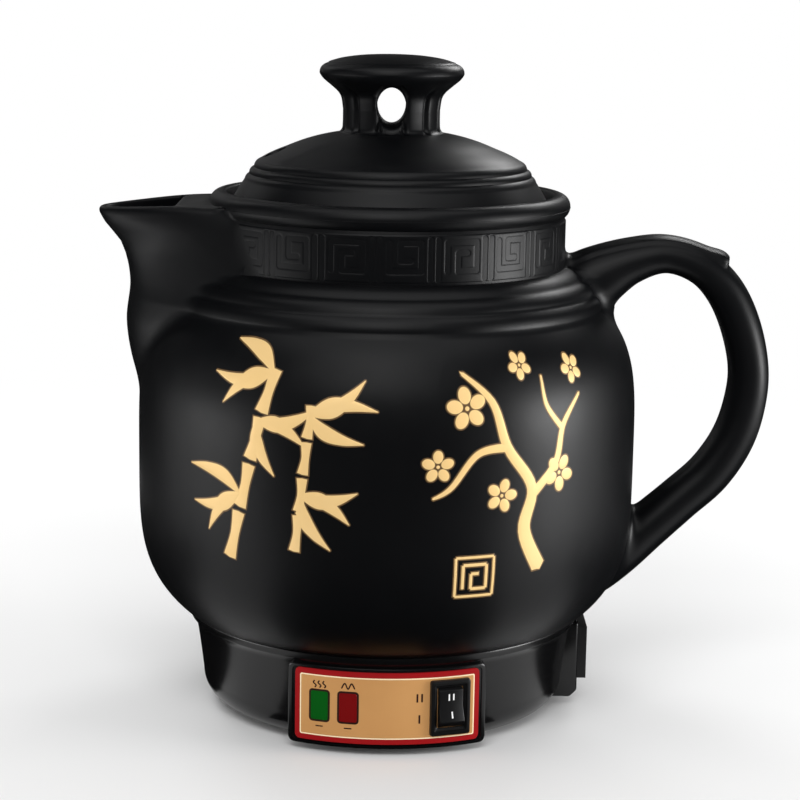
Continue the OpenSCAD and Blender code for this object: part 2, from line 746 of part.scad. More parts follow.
pot_body();
lid();
seat_ring();
base_shell();
base_cover();
foot_ring();
cover_screw(0);  // cover_screw_1
cover_screw(1);  // cover_screw_2
cover_screw(2);  // cover_screw_3
cover_screw(3);  // cover_screw_4
panel_frame();
panel_label();
lamp_window(windows[0], "#0b6a1c");  // warm_window
lamp_window(windows[1], "#8e0a0a");  // heat_window
lamp(windows[0]);  // warm_lamp
lamp(windows[1]);  // heat_lamp
switch_housing();
switch_rocker();
switch_tabs();
inlet_socket();
inlet_pin(pin_places[0]);  // inlet_pin_live
inlet_pin(pin_places[1]);  // inlet_pin_earth
inlet_pin(pin_places[2]);  // inlet_pin_neutral
heater_flange();
heater_tube();
sensor_pocket();
flange_gasket();
flange_nut();
fixing_bracket();
heater_tab(1);  // heater_tab_1
heater_tab(-1);  // heater_tab_2
thermostat();
thermal_cutout();
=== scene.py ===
# Looks of an electric herbal medicine pot: black ceramic jug, loose lid, electric base.
# Lengths are in millimetres until a mesh is made; heights count from the table.
import math

import bmesh
import bpy
import mathutils
import numpy as np
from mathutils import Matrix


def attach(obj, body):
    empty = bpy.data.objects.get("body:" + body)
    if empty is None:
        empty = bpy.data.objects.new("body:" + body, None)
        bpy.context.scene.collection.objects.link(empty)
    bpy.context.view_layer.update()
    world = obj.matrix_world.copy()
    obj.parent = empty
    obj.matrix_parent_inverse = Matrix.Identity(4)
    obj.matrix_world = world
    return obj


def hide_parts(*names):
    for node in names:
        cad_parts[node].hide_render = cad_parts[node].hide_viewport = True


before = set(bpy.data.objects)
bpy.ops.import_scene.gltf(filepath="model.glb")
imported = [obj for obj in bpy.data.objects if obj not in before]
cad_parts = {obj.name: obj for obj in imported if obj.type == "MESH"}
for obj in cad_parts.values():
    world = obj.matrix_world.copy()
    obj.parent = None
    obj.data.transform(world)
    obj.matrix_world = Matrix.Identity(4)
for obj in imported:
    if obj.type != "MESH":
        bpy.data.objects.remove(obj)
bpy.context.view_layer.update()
print("frame loaded:", len(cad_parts), "nodes")


def curveAt(points, t):
    # between b and c: half of 2b + (c-a)u + (2a-5b+4c-d)uu + (3b-a-3c+d)uuu
    p = np.asarray(points, float)
    s = np.clip(np.asarray(t, float), 0, 1) * (len(p) - 1)
    i = np.minimum(s.astype(int), len(p) - 2)
    u = (s - i)[..., None]
    a, b = p[np.maximum(i - 1, 0)], p[i]
    c, d = p[i + 1], p[np.minimum(i + 2, len(p) - 1)]
    return 0.5 * (2 * b + (c - a) * u + (2 * a - 5 * b + 4 * c - d) * u**2
                  + (3 * b - a - 3 * c + d) * u**3)


def smoothMax(a, b, k):
    # the larger of a and b, plus (k - |a - b|)² / 4k where the two are within k of each other
    return np.maximum(a, b) + np.maximum(k - np.abs(a - b), 0)**2 / (4 * k)


def smoothStep(x):
    # 3xx - 2xxx between 0 and 1
    x = np.clip(x, 0, 1)
    return x * x * (3 - 2 * x)


def arc(centre, radius, start, end, count, squeeze=1.0):
    # centre + radius (cos a, squeeze sin a), with a from start to end in degrees
    a = np.radians(np.linspace(start, end, count))
    return np.stack([centre[0] + radius * np.cos(a), centre[1] + radius * squeeze * np.sin(a)], -1)


def onceRound(count):
    # equal steps round a circle
    return np.radians(np.arange(count) * 360 / count)


def aroundAxis(r, a, z):
    # x = r sin a, y = -r cos a: the angle counts from the front
    return np.stack(np.broadcast_arrays(r * np.sin(a), -r * np.cos(a), z), -1)


def facing(azimuth, out, across, up):
    # x = out sin a + across cos a, y = across sin a - out cos a, for what faces that way
    a = math.radians(azimuth)
    return np.stack([out * math.sin(a) + across * math.cos(a),
                     across * math.sin(a) - out * math.cos(a), up], -1)


def roll(p, q, bulge, count=9):
    # from p to q, p left out: p + (q - p)u + side * bulge * 4u(1 - u)
    p, q = np.array(p, float), np.array(q, float)
    d = q - p
    side = np.array([d[1], -d[0]]) / np.hypot(*d)
    u = np.linspace(0, 1, count + 1)[1:, None]
    return p + d * u + side * bulge * 4 * u * (1 - u)


def gridMesh(name, points, wrapU=False, wrapV=False, solid=True, sharp=40, flip=False):
    # quads between neighbours of points[u, v]; doubles are merged, and a closed shell's
    # faces are turned outwards
    index = np.arange(points.shape[0] * points.shape[1]).reshape(points.shape[:2])
    if wrapU:
        index = np.concatenate([index, index[:1]])
    if wrapV:
        index = np.concatenate([index, index[:, :1]], axis=1)
    quads = np.stack([index[:-1, :-1], index[1:, :-1], index[1:, 1:], index[:-1, 1:]], -1)
    quads = quads.reshape(-1, 4)[:, ::-1] if flip else quads.reshape(-1, 4)
    mesh = bpy.data.meshes.new(name)
    mesh.vertices.add(points.shape[0] * points.shape[1])
    mesh.vertices.foreach_set("co", (points * 0.001).astype(np.float32).ravel())
    mesh.loops.add(quads.size)
    mesh.loops.foreach_set("vertex_index", quads.astype(np.int32).ravel())
    mesh.polygons.add(len(quads))
    mesh.polygons.foreach_set("loop_start", np.arange(0, quads.size, 4, dtype=np.int32))
    mesh.update(calc_edges=True)
    tidyMesh(mesh, solid, sharp)
    return newObject(name, mesh)


def tidyMesh(mesh, solid, sharp):
    # doubles within 2 µm merged, and a solid's faces turned outwards
    shell = bmesh.new()
    shell.from_mesh(mesh)
    bmesh.ops.remove_doubles(shell, verts=shell.verts, dist=2e-6)
    bmesh.ops.dissolve_degenerate(shell, edges=shell.edges, dist=1e-6)
    if solid:
        bmesh.ops.recalc_face_normals(shell, faces=shell.faces)
    shell.to_mesh(mesh)
    shell.free()
    shaded(mesh, sharp)


def shaded(mesh, sharp):
    # smooth, but for edges where faces meet at more than sharp degrees
    mesh.shade_smooth()
    mesh.set_sharp_from_angle(angle=math.radians(sharp))


def newObject(name, data):
    # a mesh, a lamp or a camera as an object of the scene
    made = bpy.data.objects.new(name, data)
    bpy.context.scene.collection.objects.link(made)
    return made


def joined(name, parts):
    # one object from several, which are removed
    shell = bmesh.new()
    for part in parts:
        shell.from_mesh(part.data)
        bpy.data.objects.remove(part)
    mesh = bpy.data.meshes.new(name)
    shell.to_mesh(mesh)
    shell.free()
    return newObject(name, mesh)


def applied(piece):
    # the piece with its modifiers made part of its mesh
    bpy.context.view_layer.update()
    graph = bpy.context.evaluated_depsgraph_get()
    mesh = bpy.data.meshes.new_from_object(piece.evaluated_get(graph))
    piece.modifiers.clear()
    piece.data = mesh
    return piece


def cutAway(piece, cutters, sharp):
    # the piece less its cutters, which are removed
    for cutter in cutters:
        step = piece.modifiers.new("cut", "BOOLEAN")
        step.operation = "DIFFERENCE"
        step.solver = "EXACT"
        step.object = cutter
    applied(piece)
    for cutter in cutters:
        bpy.data.objects.remove(cutter)
    shaded(piece.data, sharp)
    return piece


def roundedRect(width, height, corner, perCorner):
    # four quarter circles of radius corner round a rectangle, anticlockwise
    a = np.radians(np.linspace(0, 90, perCorner))
    quarter = corner * np.stack([np.cos(a), np.sin(a)], -1)
    half = np.array([width / 2 - corner, height / 2 - corner])
    turns = [(1, 1), (-1, 1), (-1, -1), (1, -1)]
    out = []
    for k, signs in enumerate(turns):
        part = quarter if k % 2 == 0 else quarter[::-1]
        out.append((half + part) * signs)
    return np.concatenate(out)


def rectStack(name, wide, tall, steps, place, perSide=1, perCorner=6):
    # a skin over rounded rectangles, one for each step (height, less width, less length,
    # corner), with both ends closed to a point, or to a line where the long sides are in
    # perSide short pieces, so that they can bend; place turns (u, v, height) into (x, y, z)
    rings = []
    for w, lessWide, lessTall, corner in steps:
        outline = roundedRect(wide - lessWide, tall - lessTall, corner, perCorner)
        side = np.roll(outline, -1, 0) - outline
        count = np.where(np.abs(side[:, 0]) > wide / 2, perSide, 1)
        pick = np.repeat(np.arange(len(outline)), count)
        part = (np.arange(len(pick)) - np.repeat(np.cumsum(count) - count, count)) / count[pick]
        outline = outline[pick] + side[pick] * part[:, None]
        rings.append(np.column_stack([outline, np.full(len(outline), w)]))
    drawn = 1 if perSide > 1 else slice(None)
    for end, at in ((0, 0), (-1, len(rings) + 1)):
        flat = rings[end].copy()
        flat[:, drawn] = flat.mean(0)[drawn]
        rings.insert(at, flat)
    return gridMesh(name, place(np.array(rings)), wrapV=True)


def onCylinder(radius, azimuth, middle):
    # u runs round the cylinder, v upwards, w outwards: angle = azimuth + u / radius
    def place(p):
        a = math.radians(azimuth) + p[..., 0] / radius
        return aroundAxis(radius + p[..., 2], a, middle + p[..., 1])
    return place


class Wire:
    # one socket of a material's nodes; arithmetic on it adds Math nodes
    def __init__(self, tree, socket=None):
        self.tree, self.socket = tree, socket

    def node(self, kind, settings=None, inputs=None, output=0):
        # any node: its settings first, then the values or wires of its sockets
        made = self.tree.nodes.new("ShaderNode" + kind)
        for key, value in (settings or {}).items():
            setattr(made, key, value)
        for key, value in (inputs or {}).items():
            if isinstance(value, Wire):
                self.tree.links.new(value.socket, made.inputs[key])
            else:
                made.inputs[key].default_value = value
        return Wire(self.tree, made.outputs[output])

    def math(self, operation, first, second):
        # a Math node on two numbers or wires
        return self.node("Math", {"operation": operation}, {0: first, 1: second})

    def __add__(self, other): return self.math("ADD", self, other)
    def __radd__(self, other): return self.math("ADD", other, self)
    def __sub__(self, other): return self.math("SUBTRACT", self, other)
    def __rsub__(self, other): return self.math("SUBTRACT", other, self)
    def __mul__(self, other): return self.math("MULTIPLY", self, other)
    def __rmul__(self, other): return self.math("MULTIPLY", other, self)

    def noise(self, scale, detail=4.0, roughness=0.5):
        return self.node("TexNoise", None, {"Vector": self, "Scale": scale, "Detail": detail,
                                            "Roughness": roughness})

    def blend(self, low, high):
        # the colour low where this wire is 0, and high where it is 1
        return self.node("Mix", {"data_type": "RGBA"}, {"Factor": self, 6: low, 7: high}, 2)

    def bump(self, strength, distance):
        return self.node("Bump", None, {"Height": self, "Strength": strength,
                                        "Distance": distance})


def finish(name, build, steady):
    # a material on a Principled shader: build gets the Object coordinates and returns what
    # varies over the surface, and steady holds the values that are the same all over
    material = bpy.data.materials.new(name)
    material.use_nodes = True
    tree = material.node_tree
    shader = tree.nodes["Principled BSDF"]
    for key, value in steady.items():
        shader.inputs[key].default_value = value
    place = Wire(tree).node("TexCoord", output="Object")
    for key, value in build(place).items():
        tree.links.new(value.socket, shader.inputs[key])
    return material


cloudScale, roughScale = 35.0, 112.5  # of the slow cloud in a colour, and of worn or damp spots


def speckled(low, high, roughness, spread, grain, height):
    # colour: from low to high by a slow cloud; roughness + (noise - 0.5) spread; and a fine
    # bump of that grain and of that height in metres
    def build(place):
        return {"Base Color": place.noise(cloudScale, 5.0).blend((*low, 1), (*high, 1)),
                "Roughness": roughness + (place.noise(roughScale) - 0.5) * spread,
                "Normal": place.noise(grain, 3.0, 0.6).bump(0.35, height)}
    return build


def gloss(level):
    # how strongly a finish mirrors: 0.5 is plain glass, 0 nothing
    return {"Specular IOR Level": level}


looks = {  # two colours, roughness and its spread, grain and its height, steady values
    "glaze": ((0.0015, 0.0017, 0.0022), (0.0028, 0.0030, 0.0037), 0.38, 0.08, 420, 5e-5,
              gloss(0.24)),
    "gold": ((0.78, 0.51, 0.19), (0.86, 0.61, 0.29), 0.48, 0.2, 260, 9e-5,
             {"Metallic": 0.15, **gloss(0.3)}),
    "goldEdge": ((0.085, 0.043, 0.012), (0.15, 0.08, 0.02), 0.5, 0.1, 500, 3e-5, {}),
    "glossBlack": ((0.0020, 0.0020, 0.0022), (0.0032, 0.0032, 0.0035), 0.22, 0.05, 700, 1.2e-5,
                   gloss(0.42)),
    "satinBlack": ((0.0040, 0.0040, 0.0042), (0.0060, 0.0060, 0.0064), 0.36, 0.08, 2600, 3e-5,
                   gloss(0.3)),
    "rubber": ((0.018, 0.018, 0.018), (0.028, 0.027, 0.026), 0.75, 0.1, 1800, 4e-5, {}),
    "labelGold": ((0.50, 0.245, 0.080), (0.63, 0.33, 0.120), 0.4, 0.1, 800, 2e-5,
                  {"Metallic": 0.1, **gloss(0.25)}),
    "labelRed": ((0.26, 0.002, 0.004), (0.33, 0.005, 0.007), 0.38, 0.06, 900, 1e-5, gloss(0.15)),
    "labelInk": ((0.020, 0.006, 0.004), (0.030, 0.010, 0.008), 0.5, 0.1, 900, 1e-5, gloss(0.1)),
    "labelLine": ((0.90, 0.74, 0.47), (0.95, 0.80, 0.55), 0.4, 0.1, 900, 1e-5, {}),
    "greenLens": ((0.001, 0.068, 0.004), (0.002, 0.105, 0.008), 0.2, 0.05, 90, 2e-5, gloss(0.3)),
    "redLens": ((0.13, 0.001, 0.002), (0.19, 0.003, 0.003), 0.2, 0.05, 90, 2e-5, gloss(0.3)),
    "whiteInk": ((0.78, 0.78, 0.78), (0.86, 0.86, 0.85), 0.5, 0.1, 900, 1e-5, {}),
    "steel": ((0.52, 0.52, 0.53), (0.64, 0.64, 0.65), 0.3, 0.15, 1500, 2e-5, {"Metallic": 1.0}),
    "brass": ((0.62, 0.44, 0.18), (0.74, 0.55, 0.27), 0.33, 0.15, 1500, 2e-5, {"Metallic": 1.0}),
    "silicone": ((0.30, 0.055, 0.03), (0.37, 0.08, 0.045), 0.5, 0.1, 900, 3e-5, {}),
    "insulator": ((0.68, 0.65, 0.56), (0.78, 0.75, 0.66), 0.6, 0.1, 1200, 3e-5, {}),
    "blackCloth": ((0.004, 0.004, 0.004), (0.006, 0.006, 0.006), 0.95, 0.05, 900, 1e-4, gloss(0.0)),
}
finishes = {name: finish(name, speckled(*look[:-1]), look[-1]) for name, look in looks.items()}
print("materials made:", len(finishes))


def dress(piece, finishName, body, slot, *nodes):
    # one finish, the body that it rides on, a record slot that is not used, and the nodes that it
    # replaces
    piece.data.materials.clear()
    piece.data.materials.append(finishes[finishName])
    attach(piece, body)
    if nodes:
        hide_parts(*nodes)


jug = {
    "beltRadius": 99.95, "baseTop": 40.0, "bellyHeight": 140.0, "neckRadius": 70.0,
    # of the belly's height: the widest place, the shoulder, and the upper curve's run
    "widestAt": 0.464, "shoulderAt": 0.886, "upperRun": 0.436,
    "lowerDraw": 0.196, "upperDraw": 0.165,  # how far the belly draws in, of its radius
    "wall": 5.0, "floor": 45.0, "floorCorner": 26.0,
    "foot": [(0, 36), (53, 36), (53, 32), (62, 32), (62, 40.4)],
    "neck": [(70, 184), (70, 189), (70, 194), (70, 197), (69.9, 198.4), (69.7, 199.3)],
    "rimMiddle": (67.4, 204.0), "rimHalf": (4.3, 4.6), "rimReach": 71.8,
    "seat": [(64.6, 203.4), (58.4, 203.4), (58.4, 199.8), (65, 195.9), (65, 180), (72, 174.8),
             (77, 169.6)],
    "rollPlaces": [(1.0, 0.0), (0.79, 0.40), (0.48, 0.74), (0.0, 1.0)], "rollBulge": 1.1,
    "lipTop": 203.6, "lipRound": 1.7, "lipWall": 4.2,
    # nose of the beak: distance from the axis, height
    "nose": [(88.0, 114.0), (97.0, 125.6), (102.4, 138.6), (105.1, 155.6), (103.6, 172.6),
             (106.7, 187.6), (113.4, 196.9), (117.0, 203.6)],
    "noseRound": 11.3, "noseSpread": 0.42, "noseWidest": 27.0,
    "bridgeEdge": 85.0, "bridgeRoot": 70.6, "bridgeThick": 4.6,
    "hollowFoot": 147.0, "hollowTop": 198.3, "closeAt": 0.78,
    "lipSoft": 1.2, "lipBlunt": 3.0, "webRise": 0.9, "webRun": 4.2,
    "creaseBelly": 3.2, "creaseNeck": 2.2, "creaseTop": 178.0, "creaseRun": 20.0,
    "lipDroop": 2.4, "droopFrom": (76.0, 160.0), "droopRun": (44.0, 40.0),
}
widest = jug["baseTop"] + jug["widestAt"] * jug["bellyHeight"]
shoulder = jug["baseTop"] + jug["shoulderAt"] * jug["bellyHeight"]
neckFoot = jug["baseTop"] + jug["bellyHeight"]


def belly(z):
    # below the widest height R(1 - lowerDraw q^4.3), above it R(1 - upperDraw q^4.1)
    low = np.clip((widest - z) / (widest - jug["baseTop"]), 0, None)
    high = np.clip((z - widest) / (jug["upperRun"] * jug["bellyHeight"]), 0, None)
    return jug["beltRadius"] * (1 - jug["lowerDraw"] * low**4.3 - jug["upperDraw"] * high**4.1)


def rollPoint(out, up):
    # the corner out of the way from neck to belly and up of the way from shoulder to neck
    inner, outer = jug["neckRadius"], belly(shoulder)
    return (inner + (outer - inner) * out, shoulder + (neckFoot - shoulder) * up)


def noseDistance(z):
    # the nose's curve read by height
    line = curveAt(jug["nose"], np.linspace(0, 1, 400))
    return np.interp(z, line[:, 1], line[:, 0], left=60.0)


def beak(side, z, inset=0.0):
    # level section x = p - y²/2r in polar form: 2p / (cos s + sqrt(cos² s + 2p sin² s / r))
    p = noseDistance(z) - inset
    spread = jug["noseRound"] + jug["noseSpread"] * (jug["lipTop"] - z)
    r = np.clip(spread, 0, jug["noseWidest"]) - inset * 0.8
    c, s = np.cos(side), np.sin(side)
    near = c > 0.45
    c = np.where(near, c, 1.0)
    return np.where(near, 2 * p / (c + np.sqrt(c**2 + 2 * p * s**2 / r)), 0.0)


def rimRadius(z):
    # middle + half width sqrt(1 - ((z - middle) / half height)²)
    return jug["rimMiddle"][0] + jug["rimHalf"][0] * np.sqrt(
        1 - ((z - jug["rimMiddle"][1]) / jug["rimHalf"][1])**2)


def rimArc(start, end, count):
    # a part of the rim's oval section
    wide, tall = jug["rimHalf"]
    return arc(jug["rimMiddle"], wide, start, end, count, tall / wide)


def jugOutline(rolled=1.0):
    # outside of the jug without its spout, from under the foot to the height of the lip;
    # rolled is how full the shoulder's three rolls are
    places = [rollPoint(*place) for place in jug["rollPlaces"]]
    bulge = jug["rollBulge"] * rolled
    z = np.linspace(jug["baseTop"] + 0.5, shoulder, 62)
    lip = jug["lipTop"] - jug["lipRound"] * (1 - np.sin(np.radians(np.linspace(0, 90, 7))))
    return np.concatenate([
        jug["foot"], np.stack([belly(z), z], -1),
        *(roll(a, b, bulge) for a, b in zip(places[:-1], places[1:])),
        jug["neck"], rimArc(-60, -28, 6), np.stack([rimRadius(lip), lip], -1)])


def jugInside():
    # from the lip's height over the rim, down the seat, ledge and wall to the floor
    corner = jug["floorCorner"]
    side = jug["floor"] + corner
    reach = float(belly(side)) - jug["wall"]
    z = np.linspace(shoulder, side + 4, 16)
    x, top = jug["rimMiddle"][0], sum(jug["rimMiddle"][1:] + jug["rimHalf"][1:])
    return np.concatenate([
        rimArc(-4, 80, 12), [(x, top)], arc((x - 1.2, top - 1.2), 1.2, 80, 170, 5), jug["seat"],
        np.stack([belly(z) - jug["wall"], z], -1),
        arc((reach - corner, side), corner, 0, -90, 10), [(0, jug["floor"])]])


def makeJug():
    # polar rows: outside = softly the larger of the turned wall and the beak, then the
    # spout's mouth and hollow, the bridge between mouth and rim, and the inside
    lip, rounding = jug["lipTop"], jug["lipRound"]
    # directions measured from the spout's side; the mouth ends where both of its edges meet
    steps = np.radians(np.linspace(2, 40, 400))
    inner = jug["lipWall"]
    gap = beak(steps, lip, inner) - jug["bridgeEdge"] / np.cos(steps)
    mouthHalf = float(np.degrees(steps[np.argmax(gap < 0)]))
    half = np.concatenate([np.linspace(0, mouthHalf, 26), np.linspace(mouthHalf + 0.3, 44, 62),
                           np.linspace(46, 180, 62)])
    side = np.radians(np.concatenate([-half[:0:-1], half[:-1]]))
    inMouth = np.abs(np.degrees(side)) <= mouthHalf + 1e-6
    outline = jugOutline()
    r = outline[None, :, 0]
    z = outline[None, :, 1]
    s = side[:, None]
    belowNeck = smoothStep((jug["creaseTop"] - z) / jug["creaseRun"])
    k = jug["creaseNeck"] + (jug["creaseBelly"] - jug["creaseNeck"]) * belowNeck
    wallR = np.where(z > 100, smoothMax(r, beak(s, z), k), r)
    outward = smoothStep((beak(s, lip) - jug["rimReach"] + 0.2) / 4)
    rounding = rounding + (jug["lipBlunt"] - rounding) * outward
    over = np.clip((z - (lip - rounding)) / rounding, 0, 1)
    wallR = wallR - outward * rounding * (1 - np.sqrt(1 - over**2))
    wallZ = z + 0 * s
    edge = wallR[:, -1]

    # the mouth: rows of (radius, height) that close to one point outside the mouth
    bridge = jug["bridgeEdge"] / np.cos(side)
    rim, soft = jug["rimReach"], jug["lipSoft"]
    closeR = rim + jug["closeAt"] * (edge - rim)
    rows = []
    for t in np.radians([0, 22, 45, 67, 90]):
        over = soft * (1 - math.sin(t))
        rows.append((beak(side, lip, inner) + over, lip - soft * (1 - math.cos(t))))
    for height in np.linspace(lip - 3, jug["hollowFoot"], 12):
        rows.append((beak(side, height, inner), height))
    hollow = (outline[:, 1] > jug["hollowFoot"]) & (outline[:, 1] < jug["hollowTop"])
    rows += [(0 * side + radius + 0.4, height) for radius, height in outline[hollow][::3]]
    thick = jug["bridgeThick"]
    rows.append((0 * side + jug["bridgeRoot"], lip - thick))
    for t in np.radians(np.linspace(-90, 90, 9)):
        rows.append((bridge - thick / 2 * (1 - math.cos(t)), lip - thick / 2 * (1 - math.sin(t))))
    mouthR = np.stack([np.where(inMouth, row, closeR) for row, _ in rows], 1)
    mouthZ = np.stack([np.where(inMouth, height, lip) for _, height in rows], 1)

    # the bridge's top, which climbs a little to the rim
    web = np.linspace(0, 1, 6)[None, 1:-1]
    topR = mouthR[:, -1:] * (1 - web) + rim * web
    run = jug["webRun"]
    topZ = lip + jug["webRise"] * np.clip((rim + run - topR) / run, 0, 1)**2 * outward
    inside = jugInside()
    insideR, insideZ = [np.tile(inside[None, :, i], (len(side), 1)) for i in (0, 1)]
    radius = np.concatenate([wallR, mouthR, topR, insideR], 1)
    height = np.concatenate([wallZ, mouthZ, topZ, insideZ], 1)
    points = np.stack([-radius * np.cos(s), -radius * np.sin(s), height], -1)
    # the spout's tip hangs: z - droop * step(distance past the neck) * step(height)
    past = (points[..., [0, 2]] * (-1, 1) - jug["droopFrom"]) / jug["droopRun"]
    points[..., 2] -= jug["lipDroop"] * smoothStep(past[..., 0]) * smoothStep(past[..., 1])
    return gridMesh("jug", points, wrapU=True, sharp=48)


keyBand = {"cells": 20, "turn": -13.1, "low": 180.4, "high": 199.2, "middle": 190.6,
           "halfWide": 6.0, "halfTall": 5.3, "depth": 0.72, "groove": 0.74, "rib": 1.5,
           "ribLow": -8.4, "ribHigh": 6.6, "proud": 0.10, "edgeDrop": 0.5, "edgeRun": 0.8,
           "columns": 1300, "rows": 62}


def distanceTo(px, py, a, b):
    # shortest distance from points to the straight piece from a to b
    dx, dy = b[0] - a[0], b[1] - a[1]
    t = np.clip(((px - a[0]) * dx + (py - a[1]) * dy) / (dx * dx + dy * dy), 0, 1)
    return np.hypot(px - a[0] - t * dx, py - a[1] - t * dy)


def makeKeyBand():
    # radius = neck - depth * exp(-(d / groove)²), with d the distance to the key's lines
    b = keyBand
    u = np.linspace(0, 2 * math.pi, b["columns"], endpoint=False)[:, None]
    z = np.linspace(b["low"], b["high"], b["rows"])[None, :]
    pitch = 2 * math.pi / b["cells"]
    cell = (u - math.radians(b["turn"])) / pitch + 0.5
    number = np.floor(cell)
    x = (cell - number - 0.5) * pitch * jug["neckRadius"] + 0 * z
    turned = np.where(number % 2 == 0, 1.0, -1.0)
    y = (z - b["middle"]) * turned
    w, h = b["halfWide"], b["halfTall"]
    key = [(-w, -h), (-w, h), (w, h), (w, -h), (-0.28 * w, -h), (-0.28 * w, 0.25 * h),
           (0.34 * w, 0.25 * h)]
    d = np.full(x.shape, 99.0)
    for a, c in zip(key[:-1], key[1:]):
        d = np.minimum(d, distanceTo(x, y, a, c))
    edge = pitch * jug["neckRadius"] / 2
    rib = edge - b["rib"]
    for place in (-rib, rib):
        d = np.minimum(d, distanceTo(x, z - b["middle"] + 0 * x, (place, b["ribLow"]),
                                     (place, b["ribHigh"])))
    relief = b["depth"] * np.exp(-(d / b["groove"])**2)
    fade = smoothStep(np.minimum(z - b["low"], b["high"] - z) / b["edgeRun"])
    r = jug["neckRadius"] + b["proud"] - relief - (1 - fade) * b["edgeDrop"]
    return gridMesh("keyBand", aroundAxis(r, u, z), wrapU=True, solid=False, sharp=80)


handle = {
    "line": [(57, 157), (71, 166.2), (84, 175.2), (97, 181.8), (110.8, 184.6), (124.6, 180.4),
             (134.6, 171), (141.6, 157), (145.6, 140), (144.8, 125), (140.4, 110), (131.6, 96),
             (119.6, 84.6), (107.5, 73.6), (95, 62.5), (85, 55), (77, 51.5), (69, 49.5)],
    "halfThick": [16.5, 14.8, 12.0, 8.7, 7.1, 7.3, 7.8, 8, 8, 8.3, 8.6, 8.8, 8.8, 9.2, 10, 10.4,
                  10.6, 10.6],
    "halfWide": [14.6, 14.3, 13.7, 12.1, 11, 11, 11, 11, 11, 11, 11, 11, 11.2, 11.9, 13, 13.7,
                 14, 14],
    "rings": 260, "sides": 96, "squareness": 2.3,
    "blend": 5.0, "gusset": 0.9, "lowGusset": 0.85, "rootLimits": (0.306, 0.569),
    "strapHalf": 8.6, "strapEdge": 1.0, "strapEnd": 0.325, "strapFade": 0.007, "strapTop": 1.1,
    "bump": 1.9, "bumpBack": 0.012, "bumpLong": 0.016,
}


def gripPoint(t, around, swell):
    # centre + n (thick/2 + swell) cos a + y (wide/2 + swell) sin a, made squarer by
    # (|cos a|^e + |sin a|^e)^(-1/e), with the strap on top and a small beak at its end
    line, step = handle["line"], 0.004
    p, half = [curveAt(v, t) for v in (line, list(zip(handle["halfThick"], handle["halfWide"])))]
    q = curveAt(line, np.minimum(t + step, 1)) - curveAt(line, np.maximum(t - step, 0))
    n = np.stack([-q[..., 1], q[..., 0]], -1) / np.hypot(q[..., 0], q[..., 1])[..., None]
    c, s = np.cos(around), np.sin(around)
    e = handle["squareness"]
    square = (np.abs(c)**e + np.abs(s)**e)**(-1 / e)
    sideways = (half[..., 1] + swell) * s * square
    rise = (half[..., 0] + swell) * c * square
    under = smoothStep((handle["strapHalf"] - np.abs(sideways)) / handle["strapEdge"]) * (c > 0)
    along = smoothStep((handle["strapEnd"] - t) / handle["strapFade"])
    tip = np.exp(-((t - handle["strapEnd"] + handle["bumpBack"]) / handle["bumpLong"])**2)
    rise = rise + under * along * (handle["strapTop"] + handle["bump"] * tip)
    return np.stack([p[..., 0] + n[..., 0] * rise, sideways, p[..., 1] + n[..., 1] * rise], -1)


def awayFromJug(points, outline):
    # (distance from the axis - the jug's radius at that height) / sqrt(1 + slope²)
    keep = outline[5:]
    z = np.linspace(keep[0, 1], keep[-1, 1], 500)
    radius = np.interp(z, keep[:, 1], keep[:, 0])
    slope = np.gradient(radius, z)
    r, s = [np.interp(points[..., 2], z, v) for v in (radius, slope)]
    return (np.hypot(points[..., 0], points[..., 1]) - r) / np.sqrt(1 + s * s)


def rootRows(outline, around, atStart):
    # where the grip meets the jug: the curve swell = k q², away = k (1 - q)² of a soft blend,
    # with the place along the grip found by halving; there is more of it under the upper
    # root, and less under the lower one
    c = np.cos(around)
    share = handle["gusset"] if atStart else -handle["lowGusset"]
    k = handle["blend"] * (1 + share * np.clip(-c if atStart else c, 0, 1)**2)
    q = np.linspace(0.02, 1, 14)[:, None]
    swell, away = k * q**2, k * (1 - q)**2 - 0.02
    inner = np.zeros_like(swell) if atStart else np.ones_like(swell)
    outer = np.full_like(swell, handle["rootLimits"][0 if atStart else 1])
    for _ in range(34):
        middle = (inner + outer) / 2
        inside = awayFromJug(gripPoint(middle, around + 0 * swell, swell), outline) < away
        inner, outer = np.where(inside, middle, inner), np.where(inside, outer, middle)
    return outer, swell


def makeHandle():
    # rings of the upper root, the grip and the lower root; the roots reach under the rolls
    outline = jugOutline(0.0)
    around = onceRound(handle["sides"])[None, :]
    startT, startSwell = rootRows(outline, around, True)
    endT, endSwell = rootRows(outline, around, False)
    u = np.linspace(0, 1, handle["rings"])[1:-1, None]
    middleT = startT[:1] * (1 - u) + endT[:1] * u
    t = np.concatenate([startT[::-1], middleT, endT])
    swell = np.concatenate([startSwell[::-1], 0 * middleT, endSwell])
    points = gripPoint(t, around + 0 * t, swell)
    caps = [np.tile(points[i].mean(0), (1, points.shape[1], 1)) for i in (0, -1)]
    caps[0][..., 0] -= 6
    caps[1][..., 0] -= 6
    return gridMesh("grip", np.concatenate([caps[0], points, caps[1]]), wrapV=True, sharp=60)


